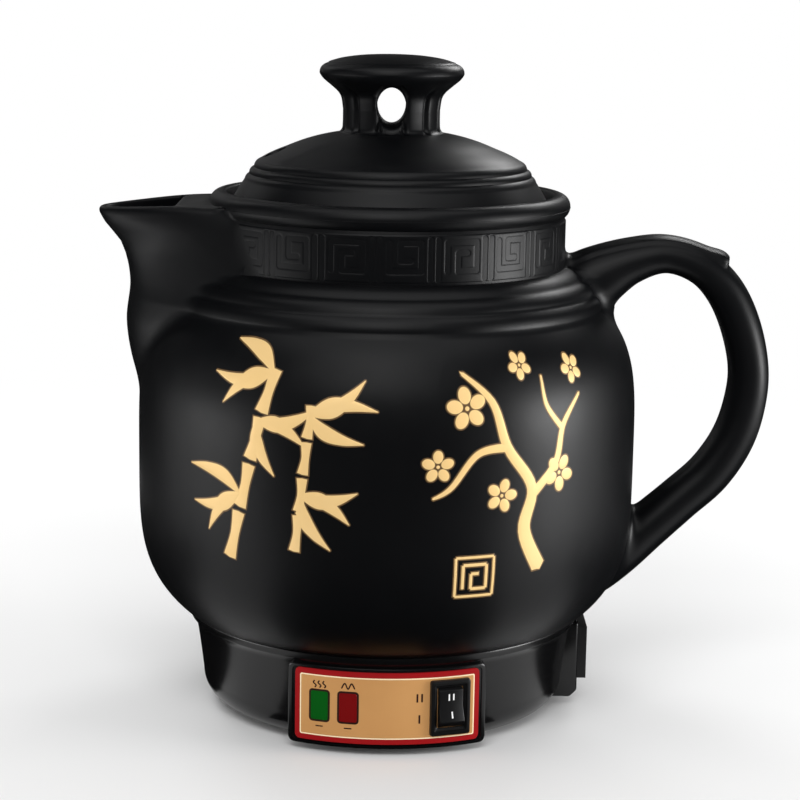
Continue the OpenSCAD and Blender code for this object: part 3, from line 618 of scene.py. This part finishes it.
lid = {
    "flange": 63.6, "spigot": 57.4, "seat": 203.4, "foot": 196.9, "hollow": 53.4,
    "stemRadius": 19.0, "stemFoot": 233.0, "domeRadius": 53.5, "domeDrop": 14.0, "shell": 5.0,
    "skirt": [(62.9, 204.0), (62.6, 204.9), (61.5, 207.2), (59.7, 210.2), (57.9, 213.0)],
    "grooves": [(56.1, 215.3), (54.2, 217.9), (51.9, 220.9)], "bulge": 0.62,
    "cap": [(19.3, 241.5), (19.9, 245.3), (21.3, 247.7), (24.0, 250.1), (27.0, 252.6),
            (28.4, 254.5), (28.55, 255.6), (28.1, 257.0), (26.9, 258.2), (25.2, 259.0)],
    "capTop": [(24.9, 259.35), (20.0, 260.8), (13.0, 261.85), (6.0, 262.3), (0.0, 262.4)],
    "sides": 384, "lobes": 12, "lobeDepth": 1.5, "fluteWide": 0.34,
    "fluteFrom": 230.6, "fluteTo": 251.5, "fluteReach": 26.0,
    "stem": [(19.2, 236.5), (19.2, 241.0)], "filletEdge": 21.8, "fillet": 2.6,
    "holeWide": 11.4, "holeTall": 15.4, "holeMiddle": 242.4, "holeFlare": 2.6,
    "steamRadius": 3.9, "steamAt": 46.5, "steamTurn": 8.0,
}


def dome(r):
    # top of the dome - drop (r / domeRadius)^2.6
    return lid["stemFoot"] - lid["domeDrop"] * np.abs(r / lid["domeRadius"])**2.6


def makeLid():
    # a turned profile; the stem's radius loses depth exp(-(cos(lobes a / 2) / fluteWide)²)
    inner = np.linspace(0, lid["domeRadius"] - 1, 14)
    skirt = curveAt(lid["skirt"], np.linspace(0, 1, 16))
    g = lid["grooves"]
    edge, rounding = lid["filletEdge"], lid["fillet"]
    r = np.linspace(g[2][0], edge, 26)[1:]
    domeTop = np.stack([r, dome(r) + (g[2][1] - dome(g[2][0])) * smoothStep((r - 40) / 12)], -1)
    fillet = arc((edge + 0.1, float(dome(edge)) + rounding), rounding, -95, -178, 7)
    stem = np.linspace(*lid["stem"], 9)
    cap = curveAt(lid["cap"], np.linspace(0, 1, 44))
    top = curveAt(lid["capTop"], np.linspace(0, 1, 20))
    profile = np.concatenate([
        np.stack([inner, dome(inner) - lid["shell"]], -1), [(lid["hollow"], lid["foot"])],
        arc((lid["spigot"] - 1, lid["foot"] + 1), 1, -90, 0, 4),
        [(lid["spigot"], lid["seat"]), (lid["flange"] - 0.5, lid["seat"])],
        arc((lid["flange"] - 0.5, lid["seat"] + 0.5), 0.5, -60, 60, 4), skirt,
        roll(lid["skirt"][-1], g[0], 0.35, 6), roll(g[0], g[1], lid["bulge"]),
        roll(g[1], g[2], lid["bulge"]), domeTop, fillet, stem, cap, top])
    a = onceRound(lid["sides"])[:, None]
    r, z = profile[None, :, 0], profile[None, :, 1]
    reach = smoothStep((z - lid["fluteFrom"]) / 2.5) * smoothStep((lid["fluteTo"] - z) / 6)
    flute = np.exp(-(np.cos(a * lid["lobes"] / 2) / lid["fluteWide"])**2)
    r = r - lid["lobeDepth"] * (reach * (r < lid["fluteReach"])) * flute
    made = gridMesh("lidTop", aroundAxis(r, a, z), wrapU=True, sharp=48)
    return cutAway(made, [knobHole(), steamHole()], 48)


def flared(name, count, halves, place):
    # a skin over ellipses (along, half width, half height), closed at both ends
    a = onceRound(count)[None, :]
    along, wide, tall = [np.array(v, float)[:, None] for v in zip(*halves)]
    ring = np.stack([wide * np.cos(a), along + 0 * a, tall * np.sin(a)], -1)
    ends = [np.tile(ring[i].mean(0), (1, count, 1)) for i in (0, -1)]
    return gridMesh(name, place(np.concatenate([ends[0], ring, ends[1]])), wrapV=True)


def knobHole():
    # an oval that opens like a trumpet: half size + e(1 - sqrt(1 - q²)) towards both faces
    wide, tall, e = lid["holeWide"] / 2, lid["holeTall"] / 2, lid["holeFlare"]
    q = np.sin(np.radians(np.linspace(0, 90, 8)))
    grow = e * (1 - np.sqrt(1 - q**2))
    reach = lid["stemRadius"] - 2.4
    side = [(reach + e * a, wide + b, tall + b) for a, b in zip(q, grow)]
    side.append((reach + e + 6, wide + e, tall + e))
    halves = [(-a, b, c) for a, b, c in side[::-1]] + side
    return flared("knobHole", 48, halves, lambda p: p + (0, 0, lid["holeMiddle"]))


def steamHole():
    # a round hole (height over the dome, more radius) that widens a little at the top
    radius, at = lid["steamRadius"], lid["steamAt"]
    top = float(dome(at))
    steps = [(-14, 0), (-0.9, 0), (-0.3, 0.3), (0.6, 1.0), (6, 1.6)]
    rows = [(top + up, radius + more, radius + more) for up, more in steps]
    return flared("steamHole", 40, rows, lambda p: facing(
        lid["steamTurn"], -p[..., 2], p[..., 0] - at, p[..., 1]))


base = {"sides": 240, "side": 77.2, "low": 73.8, "taper": 3.4, "edge": 10.5, "bottom": 2.0,
        "cup": 62.5, "cupFloor": 28.0, "cover": 62.6, "top": 40.0, "lipFoot": 35.2,
        "lip": (78.5, 0.8), "lipLow": (78.7, 37.4, 0.6),
        "housingOut": 79.2, "housingWide": 32.0, "housingLow": 4.6, "housingTop": 36.0}


def makeShell():
    # a turned profile (r cos a, r sin a, z), whose side is its radius less taper * run^0.8,
    # with a quarter circle to the bottom
    b = base
    edgeZ = b["bottom"] + b["edge"]
    u = np.linspace(0, 1, 20)[:, None]
    side = (b["side"], b["lipFoot"]) - np.hstack([b["taper"] * u**0.8, (b["lipFoot"] - edgeZ) * u])
    lip, rounding = b["lip"]
    profile = np.concatenate([
        [(b["cup"], b["cupFloor"]), (b["cup"], b["top"])],
        arc((lip, b["top"] - rounding), rounding, 90, 0, 5),
        arc(b["lipLow"][:2], b["lipLow"][2], 0, -45, 4), side,
        arc((b["low"] - b["edge"], edgeZ), b["edge"], -4, -90, 16),
        [(b["cover"] + 0.5, b["bottom"]), (b["cover"], b["bottom"] + 0.5),
         (b["cover"], b["cupFloor"])]])
    a = onceRound(b["sides"])[:, None]
    r, z = profile[None, :, 0], profile[None, :, 1]
    points = np.stack([r * np.cos(a), r * np.sin(a), z + 0 * a], -1)
    return gridMesh("shell", points, wrapU=True, wrapV=True, sharp=35)


def prism(name, outline, across, bevel, place):
    # an outline (u, v) carried from -across to across, with its edges rounded by a bevel
    n = len(outline)
    ends = [np.column_stack([outline, np.full(n, w)]) for w in (-across, across)]
    mesh = bpy.data.meshes.new(name)
    sides = [(i, (i + 1) % n, n + (i + 1) % n, n + i) for i in range(n)]
    points = place(np.concatenate(ends)) * 0.001
    mesh.from_pydata(points.tolist(), [], [*sides, tuple(range(n))[::-1], tuple(range(n, 2 * n))])
    tidyMesh(mesh, True, 40)
    made = newObject(name, mesh)
    step = made.modifiers.new("bevel", "BEVEL")
    step.width, step.segments, step.limit_method = bevel * 0.001, 3, "ANGLE"
    step.angle_limit = math.radians(25)
    shaded(applied(made).data, 40)
    return made


def makeHousing():
    # side view (x, z) with its lower corner cut off, carried along y
    b = base
    outline = np.array([(66, b["housingTop"]), (b["housingOut"], b["housingTop"]),
                        (b["housingOut"], b["housingLow"] + 2.8),
                        (b["housingOut"] - 2.8, b["housingLow"]), (66, b["housingLow"])])
    return prism("inletHousing", outline, b["housingWide"] / 2, 1.0,
                 lambda p: np.stack([p[..., 0], p[..., 2], p[..., 1]], -1))


panel = {"turn": 1.5, "radius": 78.2, "frameAngle": 29.3, "frameLow": 3.0, "frameHigh": 35.2,
         "labelAngle": 26.6, "labelLow": 5.2, "labelTall": 28.4, "redBorder": 2.5,
         "windowWide": 6.8, "windowTall": 11.4, "windowTurns": (-17.7, -9.5),
         "switchTurn": 19.1, "bezelWide": 16.0, "bezelTall": 22.0, "bezelFace": 80.2,
         "rockerWide": 9.8, "rockerRadius": 8.4, "rockerValley": 4.5, "pivotIn": 4.2,
         "throw": 22.0, "markWide": 0.56, "markTall": 2.5, "markLift": 0.04, "fieldHigh": 0.56}
labelMiddle = panel["labelLow"] + panel["labelTall"] / 2


def arcLength(angle):
    # length round the panel's cylinder = angle * radius
    return math.radians(angle) * panel["radius"]


def makePanelFrame():
    # a frame whose outer edge is rounded in five steps and whose inside lies 0.35 mm deeper
    low, high = panel["frameLow"], panel["frameHigh"]
    place = onCylinder(panel["radius"], panel["turn"], (high + low) / 2)
    steps = [(-9, 0, 0, 2.6), (-1.2, 0, 0, 2.6), (-0.55, 0.25, 0.25, 2.5), (-0.12, 0.9, 0.9, 2.3),
             (0, 1.7, 1.7, 2.0), (0, 4.4, 3.2, 1.6), (-0.35, 4.8, 3.5, 1.5), (-0.35, 12, 10, 1.5)]
    return rectStack("panelSurround", 2 * arcLength(panel["frameAngle"]), high - low, steps, place,
                     60, 5)


def makePlate(name, wide, tall, corner, low, high, turn=panel["turn"]):
    # a thin curved plate from one height over the cylinder to another, softened at its top
    soft = min(0.15, (high - low) / 2)
    steps = [(low, 0, 0, corner), (high - soft, 0, 0, corner),
             (high, 2 * soft, 2 * soft, max(corner - soft, 0.05))]
    place = onCylinder(panel["radius"], turn, labelMiddle)
    return rectStack(name, wide, tall, steps, place, 40, 5)


def makeBezel():
    # steps (height, less width, less length, corner): body, flange, lip and rocker's well
    steps = [(-9, 3.4, 3, 0.5), (-2.6, 3.4, 3, 0.5), (-2.6, 0, 0, 1.0), (-0.7, 0, 0, 1.0),
             (-0.2, 0.3, 0.3, 1.0), (0, 1.0, 1.0, 0.8), (0, 3.0, 3.4, 0.7), (-0.5, 3.5, 3.9, 0.6),
             (-0.7, 4.6, 5.4, 0.5), (-0.9, 5.4, 6.0, 0.4), (-2.2, 5.6, 6.2, 0.4),
             (-7, 5.6, 9.5, 0.4)]
    return rectStack("bezel", panel["bezelWide"], panel["bezelTall"], steps, lambda p: facing(
        panel["switchTurn"], panel["bezelFace"] + p[..., 2], p[..., 0], labelMiddle + p[..., 1]))


def rockerPlace(p):
    # turned by half the throw, so that its upper half lies flush, then put at the switch
    tilt = -math.radians(panel["throw"] / 2)
    out = p[..., 0] * math.cos(tilt) + p[..., 1] * math.sin(tilt)
    up = -p[..., 0] * math.sin(tilt) + p[..., 1] * math.cos(tilt)
    return facing(panel["switchTurn"], panel["bezelFace"] - panel["pivotIn"] + out, p[..., 2],
                  labelMiddle + up)


def makeRocker():
    # section (outwards, up): two faces that meet in a valley, and an arc at each end
    face, radius = panel["rockerValley"], panel["rockerRadius"] - 0.05
    slope = math.tan(math.radians(panel["throw"] / 2))
    z = np.linspace(0, radius, 4000)
    corner = z[np.argmax(np.hypot(face + slope * z, z) >= radius)]
    start = math.degrees(math.atan2(corner, face + slope * corner))
    end = math.degrees(math.acos(-3 / radius))
    upper = arc((0, 0), radius, start, end, 12)
    outline = np.concatenate([[(face, 0)], upper, upper[::-1] * (1, -1)])
    return prism("rockerCap", outline, panel["rockerWide"] / 2 - 0.05, 0.4, rockerPlace)


def rockerMark(name, height, places):
    # short upright bars printed on the rocker's faces: out = valley + slope |up| + lift
    slope = math.tan(math.radians(panel["throw"] / 2))
    parts = []
    for x in places:
        u = np.linspace(-0.5, 0.5, 3)[:, None] * panel["markWide"] + np.zeros((1, 2))
        v = np.array([[-0.5, 0.5]]) * panel["markTall"] + height + 0 * u
        out = panel["rockerValley"] + slope * np.abs(v) + panel["markLift"]
        points = rockerPlace(np.stack([out, v, x + u], -1))
        parts.append(gridMesh(name + "Bar", points, solid=False, sharp=80))
    return joined(name, parts)


motif = {
    "lift": 0.02, "goldHigh": 0.16, "edgeHigh": 0.05, "edgeGrow": 0.42,
    # bamboo: culms (foot, top, width), cut into lengths, and sprays (root, tips of leaves)
    "culms": [((-62, 78), (-44, 152), 5.2), ((-34, 84), (-28, 140), 4.0)],
    "cuts": [0, 0.27, 0.52, 0.76, 1.0], "gap": 0.012, "leafWide": 5.6, "leafBend": 0.12,
    "sprays": [((-50, 132), [(-26, 138), (-30, 124), (-42, 112)]),
               ((-57, 104), [(-82, 112), (-80, 98), (-72, 88)]),
               ((-45, 150), [(-66, 160), (-72, 148), (-66, 137)]),
               ((-29, 136), [(-8, 149), (-3, 138), (-8, 126)]),
               ((-32, 106), [(-10, 108), (-13, 96), (-20, 86)])],
    # blossom: branches (points, widths) and flowers (across, up, size, turn)
    "branches": [([(62, 76), (54, 92), (57, 108), (46, 124), (40, 141), (28, 152)],
                  [6.4, 5.6, 4.6, 4.0, 3.0, 1.4]),
                 ([(56, 104), (68, 116), (72, 130), (82, 141)], [4.2, 3.2, 2.6, 1.2]),
                 ([(46, 124), (34, 122), (24, 110), (17, 106)], [3.6, 2.8, 2.2, 1.0]),
                 ([(72, 128), (64, 138), (63, 149)], [2.6, 2.0, 1.0])],
    "flowers": [(30, 139, 8.2, 10), (70, 112, 7.4, 40), (19, 118, 6.4, 0), (80, 150, 5.8, 20),
                (44, 106, 6.6, 55), (54, 153, 5.4, 30)],
    # medallion: its place, and lines (width, points)
    "tile": (34.0, 76.0),
    "tileLines": [(1.1, [(-7.5, -7.5), (-7.5, 7.5), (7.5, 7.5), (7.5, -7.5), (-7.5, -7.5)]),
                  (1.3, [(-4.6, -4.6), (-4.6, 4.6), (4.6, 4.6), (4.6, -4.6), (-1.4, -4.6),
                         (-1.4, 1.2), (1.6, 1.2)])],
}


def bellyPlace(p, lift):
    # s along the belly from its front, z upwards: angle = s / R, radius = belly(z) + lift
    return aroundAxis(belly(p[..., 1]) + lift, p[..., 0] / jug["beltRadius"], p[..., 1])


def brushStroke(points, widths, grow=0.0, high=motif["goldHigh"], count=36, place=bellyPlace):
    # a ribbon along a smooth curve: point + side * width(t) * w, raised by high (1 - w⁴),
    # whose last 6% at either end narrows as a circle does
    t = np.linspace(0, 1, count)
    line = curveAt(points, t)
    ahead = curveAt(points, np.minimum(t + 0.01, 1)) - curveAt(points, np.maximum(t - 0.01, 0))
    ahead = ahead / np.hypot(ahead[:, 0], ahead[:, 1])[:, None]
    side = np.stack([-ahead[:, 1], ahead[:, 0]], -1)
    half = curveAt(np.array(widths, float)[:, None], t) / 2 + grow
    w = np.linspace(-1, 1, 7)
    ends = np.sqrt(np.clip(1 - np.clip((np.abs(2 * t - 1) - 0.94) / 0.06, 0, 1)**2, 0, 1))
    half = half * np.maximum(ends, 0.02)[:, None]
    line = line + ahead * (np.sign(2 * t - 1) * (np.abs(2 * t - 1) > 0.94) * grow)[:, None]
    flat = line[:, None, :] + side[:, None, :] * (half * w)[..., None]
    lift = (motif["lift"] + high * (1 - w**4))[None, :] + 0 * flat[..., 0]
    return gridMesh("stroke", place(flat, lift), solid=False, sharp=80, flip=True)


def raisedDisc(place, halfLong, halfWide, turn, grow=0.0, high=motif["goldHigh"]):
    # an ellipse on the belly: centre + w (long cos a, wide sin a), raised by high (1 - w⁴)
    w = np.linspace(0, 1, 7)[:, None]
    a = onceRound(32)[None, :]
    along, across = w * (halfLong + grow) * np.cos(a), w * (halfWide + grow) * np.sin(a)
    c, s = math.cos(math.radians(turn)), math.sin(math.radians(turn))
    flat = np.stack([place[0] + along * c - across * s, place[1] + along * s + across * c], -1)
    lift = motif["lift"] + high * (1 - w**4) + 0 * a
    return gridMesh("disc", bellyPlace(flat, lift), wrapV=True, solid=False, sharp=80)


def leaf(root, tip, wide, bend):
    # a leaf: slim at its root, full a third of the way along, and pointed at its tip
    root, tip = np.array(root, float), np.array(tip, float)
    d = tip - root
    side = np.array([-d[1], d[0]]) * bend
    middle = [root + d * 0.33 + side, root + d * 0.66 + side * 0.8]
    return ([root, *middle, tip], [wide * 0.25, wide, wide * 0.72, wide * 0.06])


def bamboo():
    # culms in jointed lengths low + (high - low) t, waisted and a little bowed, and leaves
    # that bend to either side in turn
    strokes = []
    cuts, gap, bend = motif["cuts"], motif["gap"], motif["leafBend"]
    for low, high, wide in motif["culms"]:
        low, high = np.array(low, float), np.array(high, float)
        for a, b in zip(cuts[:-1], cuts[1:]):
            p, q = low + (high - low) * (a + gap), low + (high - low) * (b - gap)
            strokes.append(([p, (p + q) / 2 + (0.36, 0), q],
                            [wide * 1.16, wide * 0.8, wide * 1.12]))
    for root, tips in motif["sprays"]:
        strokes += [leaf(root, tip, motif["leafWide"], bend if k % 2 else -bend)
                    for k, tip in enumerate(tips)]
    return strokes


def flower(x, z, size, turn):
    # five round petals about a small heart, as discs (place, half length, half width, turn)
    out = [((x, z), size * 0.11, size * 0.11, 0)]
    for k in range(5):
        a = 90 + turn + 72 * k
        c, s = math.cos(math.radians(a)), math.sin(math.radians(a))
        out.append(((x + 0.58 * size * c, z + 0.58 * size * s), size * 0.40, size * 0.315, a))
    return out


def blossom():
    # a crooked branch that rises to the left, with five-petalled flowers
    return motif["branches"] + [disc for place in motif["flowers"] for disc in flower(*place)]


def medallion():
    # a frame round a square key, as on old roof tiles: a stroke for each straight piece
    strokes = []
    for wide, line in motif["tileLines"]:
        line = np.array(line) + motif["tile"]
        strokes += [([p, (p + q) / 2, q], [wide] * 3) for p, q in zip(line[:-1], line[1:])]
    return strokes


def makeMotif(name, strokes):
    # gold over a slightly wider dark edge; a stroke has two values and a disc four
    parts = [(brushStroke if len(args) == 2 else raisedDisc, args) for args in strokes]
    gold = joined(name, [make(*args) for make, args in parts])
    edge = joined(name + "Edge", [make(*args, motif["edgeGrow"], motif["edgeHigh"])
                                  for make, args in parts])
    return gold, edge


def makeLabel():
    # red border, pale line and gold field as curved plates, and two windows in dark rims
    wide, tall = 2 * arcLength(panel["labelAngle"]), panel["labelTall"]
    red = panel["redBorder"]
    border = makePlate("labelBorder", wide, tall, 2.0, 0.0, 0.5)
    line = makePlate("labelLine", wide - 2 * red + 0.9, tall - 2 * red + 0.9, 0.8, 0.3, 0.53)
    field = makePlate("labelField", wide - 2 * red, tall - 2 * red, 0.5, 0.3, panel["fieldHigh"])
    for plate, look in ((border, "labelRed"), (line, "labelLine"), (field, "labelGold")):
        dress(plate, look, "pot", "label_gold", "panel_label")
    names = [("warm", "greenLens", "lens_green"), ("heat", "redLens", "lens_red")]
    for (word, look, slot), turn in zip(names, panel["windowTurns"]):
        w, h = panel["windowWide"], panel["windowTall"]
        dress(makePlate(word + "Rim", w + 1.7, h + 1.7, 1.5, 0.3, 0.62, turn), "labelInk", "pot",
              "label_gold")
        dress(makePlate(word + "Lens", w, h, 0.8, 0.3, 0.82, turn), look, "pot", slot,
              word + "_window")


def labelStroke(turn, up, points, wide):
    # a printed line through points (sideways, upwards), 0.02 mm over the label's field
    place = onCylinder(panel["radius"], turn, labelMiddle + up)

    def lifted(p, lift):
        return place(np.concatenate([p, panel["fieldHigh"] + lift[..., None]], -1))
    return brushStroke(points, [wide] * 3, 0.0, 0.02, 24, lifted)


def makeLabelMarks():
    # plain signs (turn, height, line, width): rising warmth, a heat zigzag, a dash under
    # each, and two and one bars beside the switch
    warm, heat = panel["windowTurns"]
    wave = np.array([(0, -1.4), (0.55, -0.5), (-0.55, 0.5), (0, 1.4)])
    marks = [(warm, 8.4, wave + (x, 0), 0.55) for x in (-1.9, 0, 1.9)]
    marks.append((heat, 8.4, [(-2.6, -1.0), (-1.3, 1.2), (0, -1.0), (1.3, 1.2), (2.6, -1.0)], 0.55))
    marks += [(turn, -8.2, [(-1.5, 0), (0, 0), (1.5, 0)], 0.5) for turn in (warm, heat)]
    marks += [(10.4, up, [(x, -1.7), (x, 0), (x, 1.7)], 0.7)
              for up, x in ((4.2, -0.9), (4.2, 0.9), (-4.2, 0.0))]
    dress(joined("labelMarks", [labelStroke(*mark) for mark in marks]), "labelInk", "pot",
          "label_gold")


def cadLooks():
    # a finish for each node that stays as the CAD made it
    parts = {"rubber": "seat_ring foot_ring", "satinBlack": "base_cover inlet_socket",
             "steel": "inlet_pin_live inlet_pin_earth inlet_pin_neutral heater_flange heater_tube "
                      "sensor_pocket fixing_bracket cover_screw_1 cover_screw_2 cover_screw_3 "
                      "cover_screw_4",
             "silicone": "flange_gasket",
             "brass": "flange_nut heater_tab_1 heater_tab_2 switch_tabs",
             "insulator": "thermostat thermal_cutout warm_lamp heat_lamp"}
    for look, nodes in parts.items():
        for node in nodes.split():
            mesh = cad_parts[node].data
            mesh.materials.clear()
            mesh.materials.append(finishes[look])


dress(makeJug(), "glaze", "pot", "ceramic_black", "pot_body")
dress(makeKeyBand(), "glaze", "pot", "ceramic_black", "pot_body")
dress(makeHandle(), "glaze", "pot", "ceramic_black", "pot_body")
print("jug, key band and handle made")
dress(makeLid(), "glaze", "lid", "ceramic_black", "lid")
print("lid made")
dress(makeShell(), "glossBlack", "pot", "gloss_black", "base_shell")
dress(makeHousing(), "glossBlack", "pot", "gloss_black", "base_shell")
dress(makePanelFrame(), "glossBlack", "pot", "gloss_black", "panel_frame")
makeLabel()
makeLabelMarks()
dress(makeBezel(), "satinBlack", "pot", "matte_black", "switch_housing")
dress(makeRocker(), "satinBlack", "rocker", "matte_black", "switch_rocker")
dress(rockerMark("markTop", 3.4, (-0.9, 0.9)), "whiteInk", "rocker", "matte_black")
dress(rockerMark("markLow", -3.4, (0.0,)), "whiteInk", "rocker", "matte_black")
print("base and panel made")
for word, strokes in (("bamboo", bamboo()), ("blossom", blossom()), ("medallion", medallion())):
    gold, edge = makeMotif(word, strokes)
    dress(gold, "gold", "pot", "ceramic_black")
    dress(edge, "goldEdge", "pot", "ceramic_black")
print("motifs made")
cadLooks()


stage = {"floor": 4000.0, "floorTone": 0.86, "fadeFrom": 0.30, "fadeTo": 0.75,
         "worldLight": 0.52, "flagRadius": 420.0,
         "flags": [  # name, from and to azimuth, from and to height
             ("flagFront", -50, 50, 5, 620), ("flagLeft", -104, -50, 120, 620),
             ("flagRight", 50, 104, 180, 620), ("flagBack", 104, 160, 5, 400),
             ("flagBackLeft", 160, 256, 5, 620)],
         "cards": [("cardFront", -42, 42), ("cardBack", 78, 282)],  # name, from and to azimuth
         "cardInner": 76.0, "cardUp": 0.4,
         "roofs": [  # name, from and to across, from and to behind, height
             ("roof", -400, 130, -10, 440, 560), ("roofRight", 130, 400, -10, 350, 560)],
         "lamps": [  # name, azimuth, distance, height, aim height, width, height, watts
             ("leftSoftbox", -78, 820, 150, 150, 380, 300, 1.5),
             ("rightSoftbox", 76, 820, 150, 150, 380, 300, 4.4),
             ("frontSoftbox", -6, 860, 800, 150, 700, 340, 5.5),
             ("backLeft", -150, 900, 620, 150, 360, 500, 3.0),
             ("backRight", 150, 900, 620, 150, 360, 500, 3.0)]}
camera = {"back": 876.0, "height": 290.9, "pitch": 10.8, "roll": 0.9, "lens": 99.0,
          "shift": 0.0163}


def lightPath(tree):
    # 1 for camera, glossy and transmission rays, 0 for the rays that light the object
    seen, mirrored, through = [Wire(tree).node("LightPath", output=f"Is {name} Ray")
                               for name in ("Camera", "Glossy", "Transmission")]
    return seen.math("MAXIMUM", seen, mirrored.math("MAXIMUM", mirrored, through))


def makeFloor():
    # a wide plain sheet whose far part fades to plain white, so that no horizon shows
    size, tone = stage["floor"], stage["floorTone"]
    corners = np.array([[[-size, -size, 0], [-size, size, 0]], [[size, -size, 0], [size, size, 0]]])
    floor = gridMesh("floor", corners, solid=False)
    paint = finish("floorPaint", lambda place: {"Roughness": 0.7 + 0.05 * place.noise(3.0)},
                   {"Base Color": (tone, tone, tone, 1), **gloss(0.0)})
    tree = paint.node_tree
    place = Wire(tree).node("TexCoord", output="Object")
    away = place.node("VectorMath", {"operation": "LENGTH"}, {0: place}, 1)
    fade = away.node("MapRange", {"interpolation_type": "SMOOTHSTEP"},
                     {0: away, 1: stage["fadeFrom"], 2: stage["fadeTo"]}) * lightPath(tree)
    white = Wire(tree).node("Emission", None, {"Color": (1, 1, 1, 1), "Strength": 1.0})
    shader = Wire(tree, tree.nodes["Principled BSDF"].outputs[0])
    mixed = shader.node("MixShader", None, {0: fade, 1: shader, 2: white})
    tree.links.new(mixed.socket, tree.nodes["Material Output"].inputs[0])
    floor.data.materials.append(paint)


def makeFlags():
    # black cloth round, under and over the pot, open towards the side lamps and the front's
    # top; only gloss shows it, as (r sin a, -r cos a, z) with a and z, or a and r, varying
    radius = stage["flagRadius"]
    sheets = []
    for name, start, end, *heights in stage["flags"]:
        a = np.radians(np.linspace(start, end, 40))[:, None]
        sheets.append((name, aroundAxis(radius, a, np.array([heights], float))))
    for name, start, end in stage["cards"]:
        a = np.radians(np.linspace(start, end, 40))[:, None]
        reach = np.array([[stage["cardInner"], radius]])
        sheets.append((name, aroundAxis(reach, a, stage["cardUp"])))
    for name, left, right, front, back, up in stage["roofs"]:
        sheets.append((name, np.array([[[left, front, up], [left, back, up]],
                                       [[right, front, up], [right, back, up]]])))
    for name, points in sheets:
        flag = gridMesh(name, points, solid=False)
        flag.data.materials.append(finishes["blackCloth"])
        flag.visible_camera = flag.visible_diffuse = flag.visible_shadow = False
        flag.visible_transmission = False


def makeLights():
    # a white world, dimmed for the rays that light the object, and soft lamps round it
    world = bpy.data.worlds.new("studio")
    bpy.context.scene.world = world
    world.use_nodes = True
    tree = world.node_tree
    background = tree.nodes["Background"]
    background.inputs["Color"].default_value = (1, 1, 1, 1)
    low = stage["worldLight"]
    strength = low + lightPath(tree) * (1 - low)
    tree.links.new(strength.socket, background.inputs["Strength"])
    for name, azimuth, away, up, aim, wide, tall, watts in stage["lamps"]:
        lamp = bpy.data.lights.new(name, "AREA")
        lamp.shape, lamp.energy = "RECTANGLE", watts
        lamp.size, lamp.size_y = wide / 1000, tall / 1000
        made = newObject(name, lamp)
        a = math.radians(azimuth)
        place = mathutils.Vector((away * math.sin(a), -away * math.cos(a), up)) / 1000
        made.location = place
        made.rotation_euler = (mathutils.Vector((0, 0, aim / 1000)) - place).to_track_quat(
            "-Z", "Y").to_euler()


def makeCamera():
    # looks along +Y from the front, tipped down by its pitch and leaning by its roll
    data = bpy.data.cameras.new("camera")
    data.lens, data.sensor_width, data.shift_x = camera["lens"], 36.0, camera["shift"]
    data.clip_end = 20
    made = newObject("camera", data)
    made.location = (0, -camera["back"] / 1000, camera["height"] / 1000)
    tilt = mathutils.Matrix.Rotation(math.radians(90 - camera["pitch"]), 3, "X")
    lean = mathutils.Matrix.Rotation(math.radians(camera["roll"]), 3, "Z")
    made.rotation_euler = (tilt @ lean).to_euler()
    bpy.context.scene.camera = made


makeFloor()
makeFlags()
makeLights()
makeCamera()
bpy.context.scene.view_settings.view_transform = "Standard"
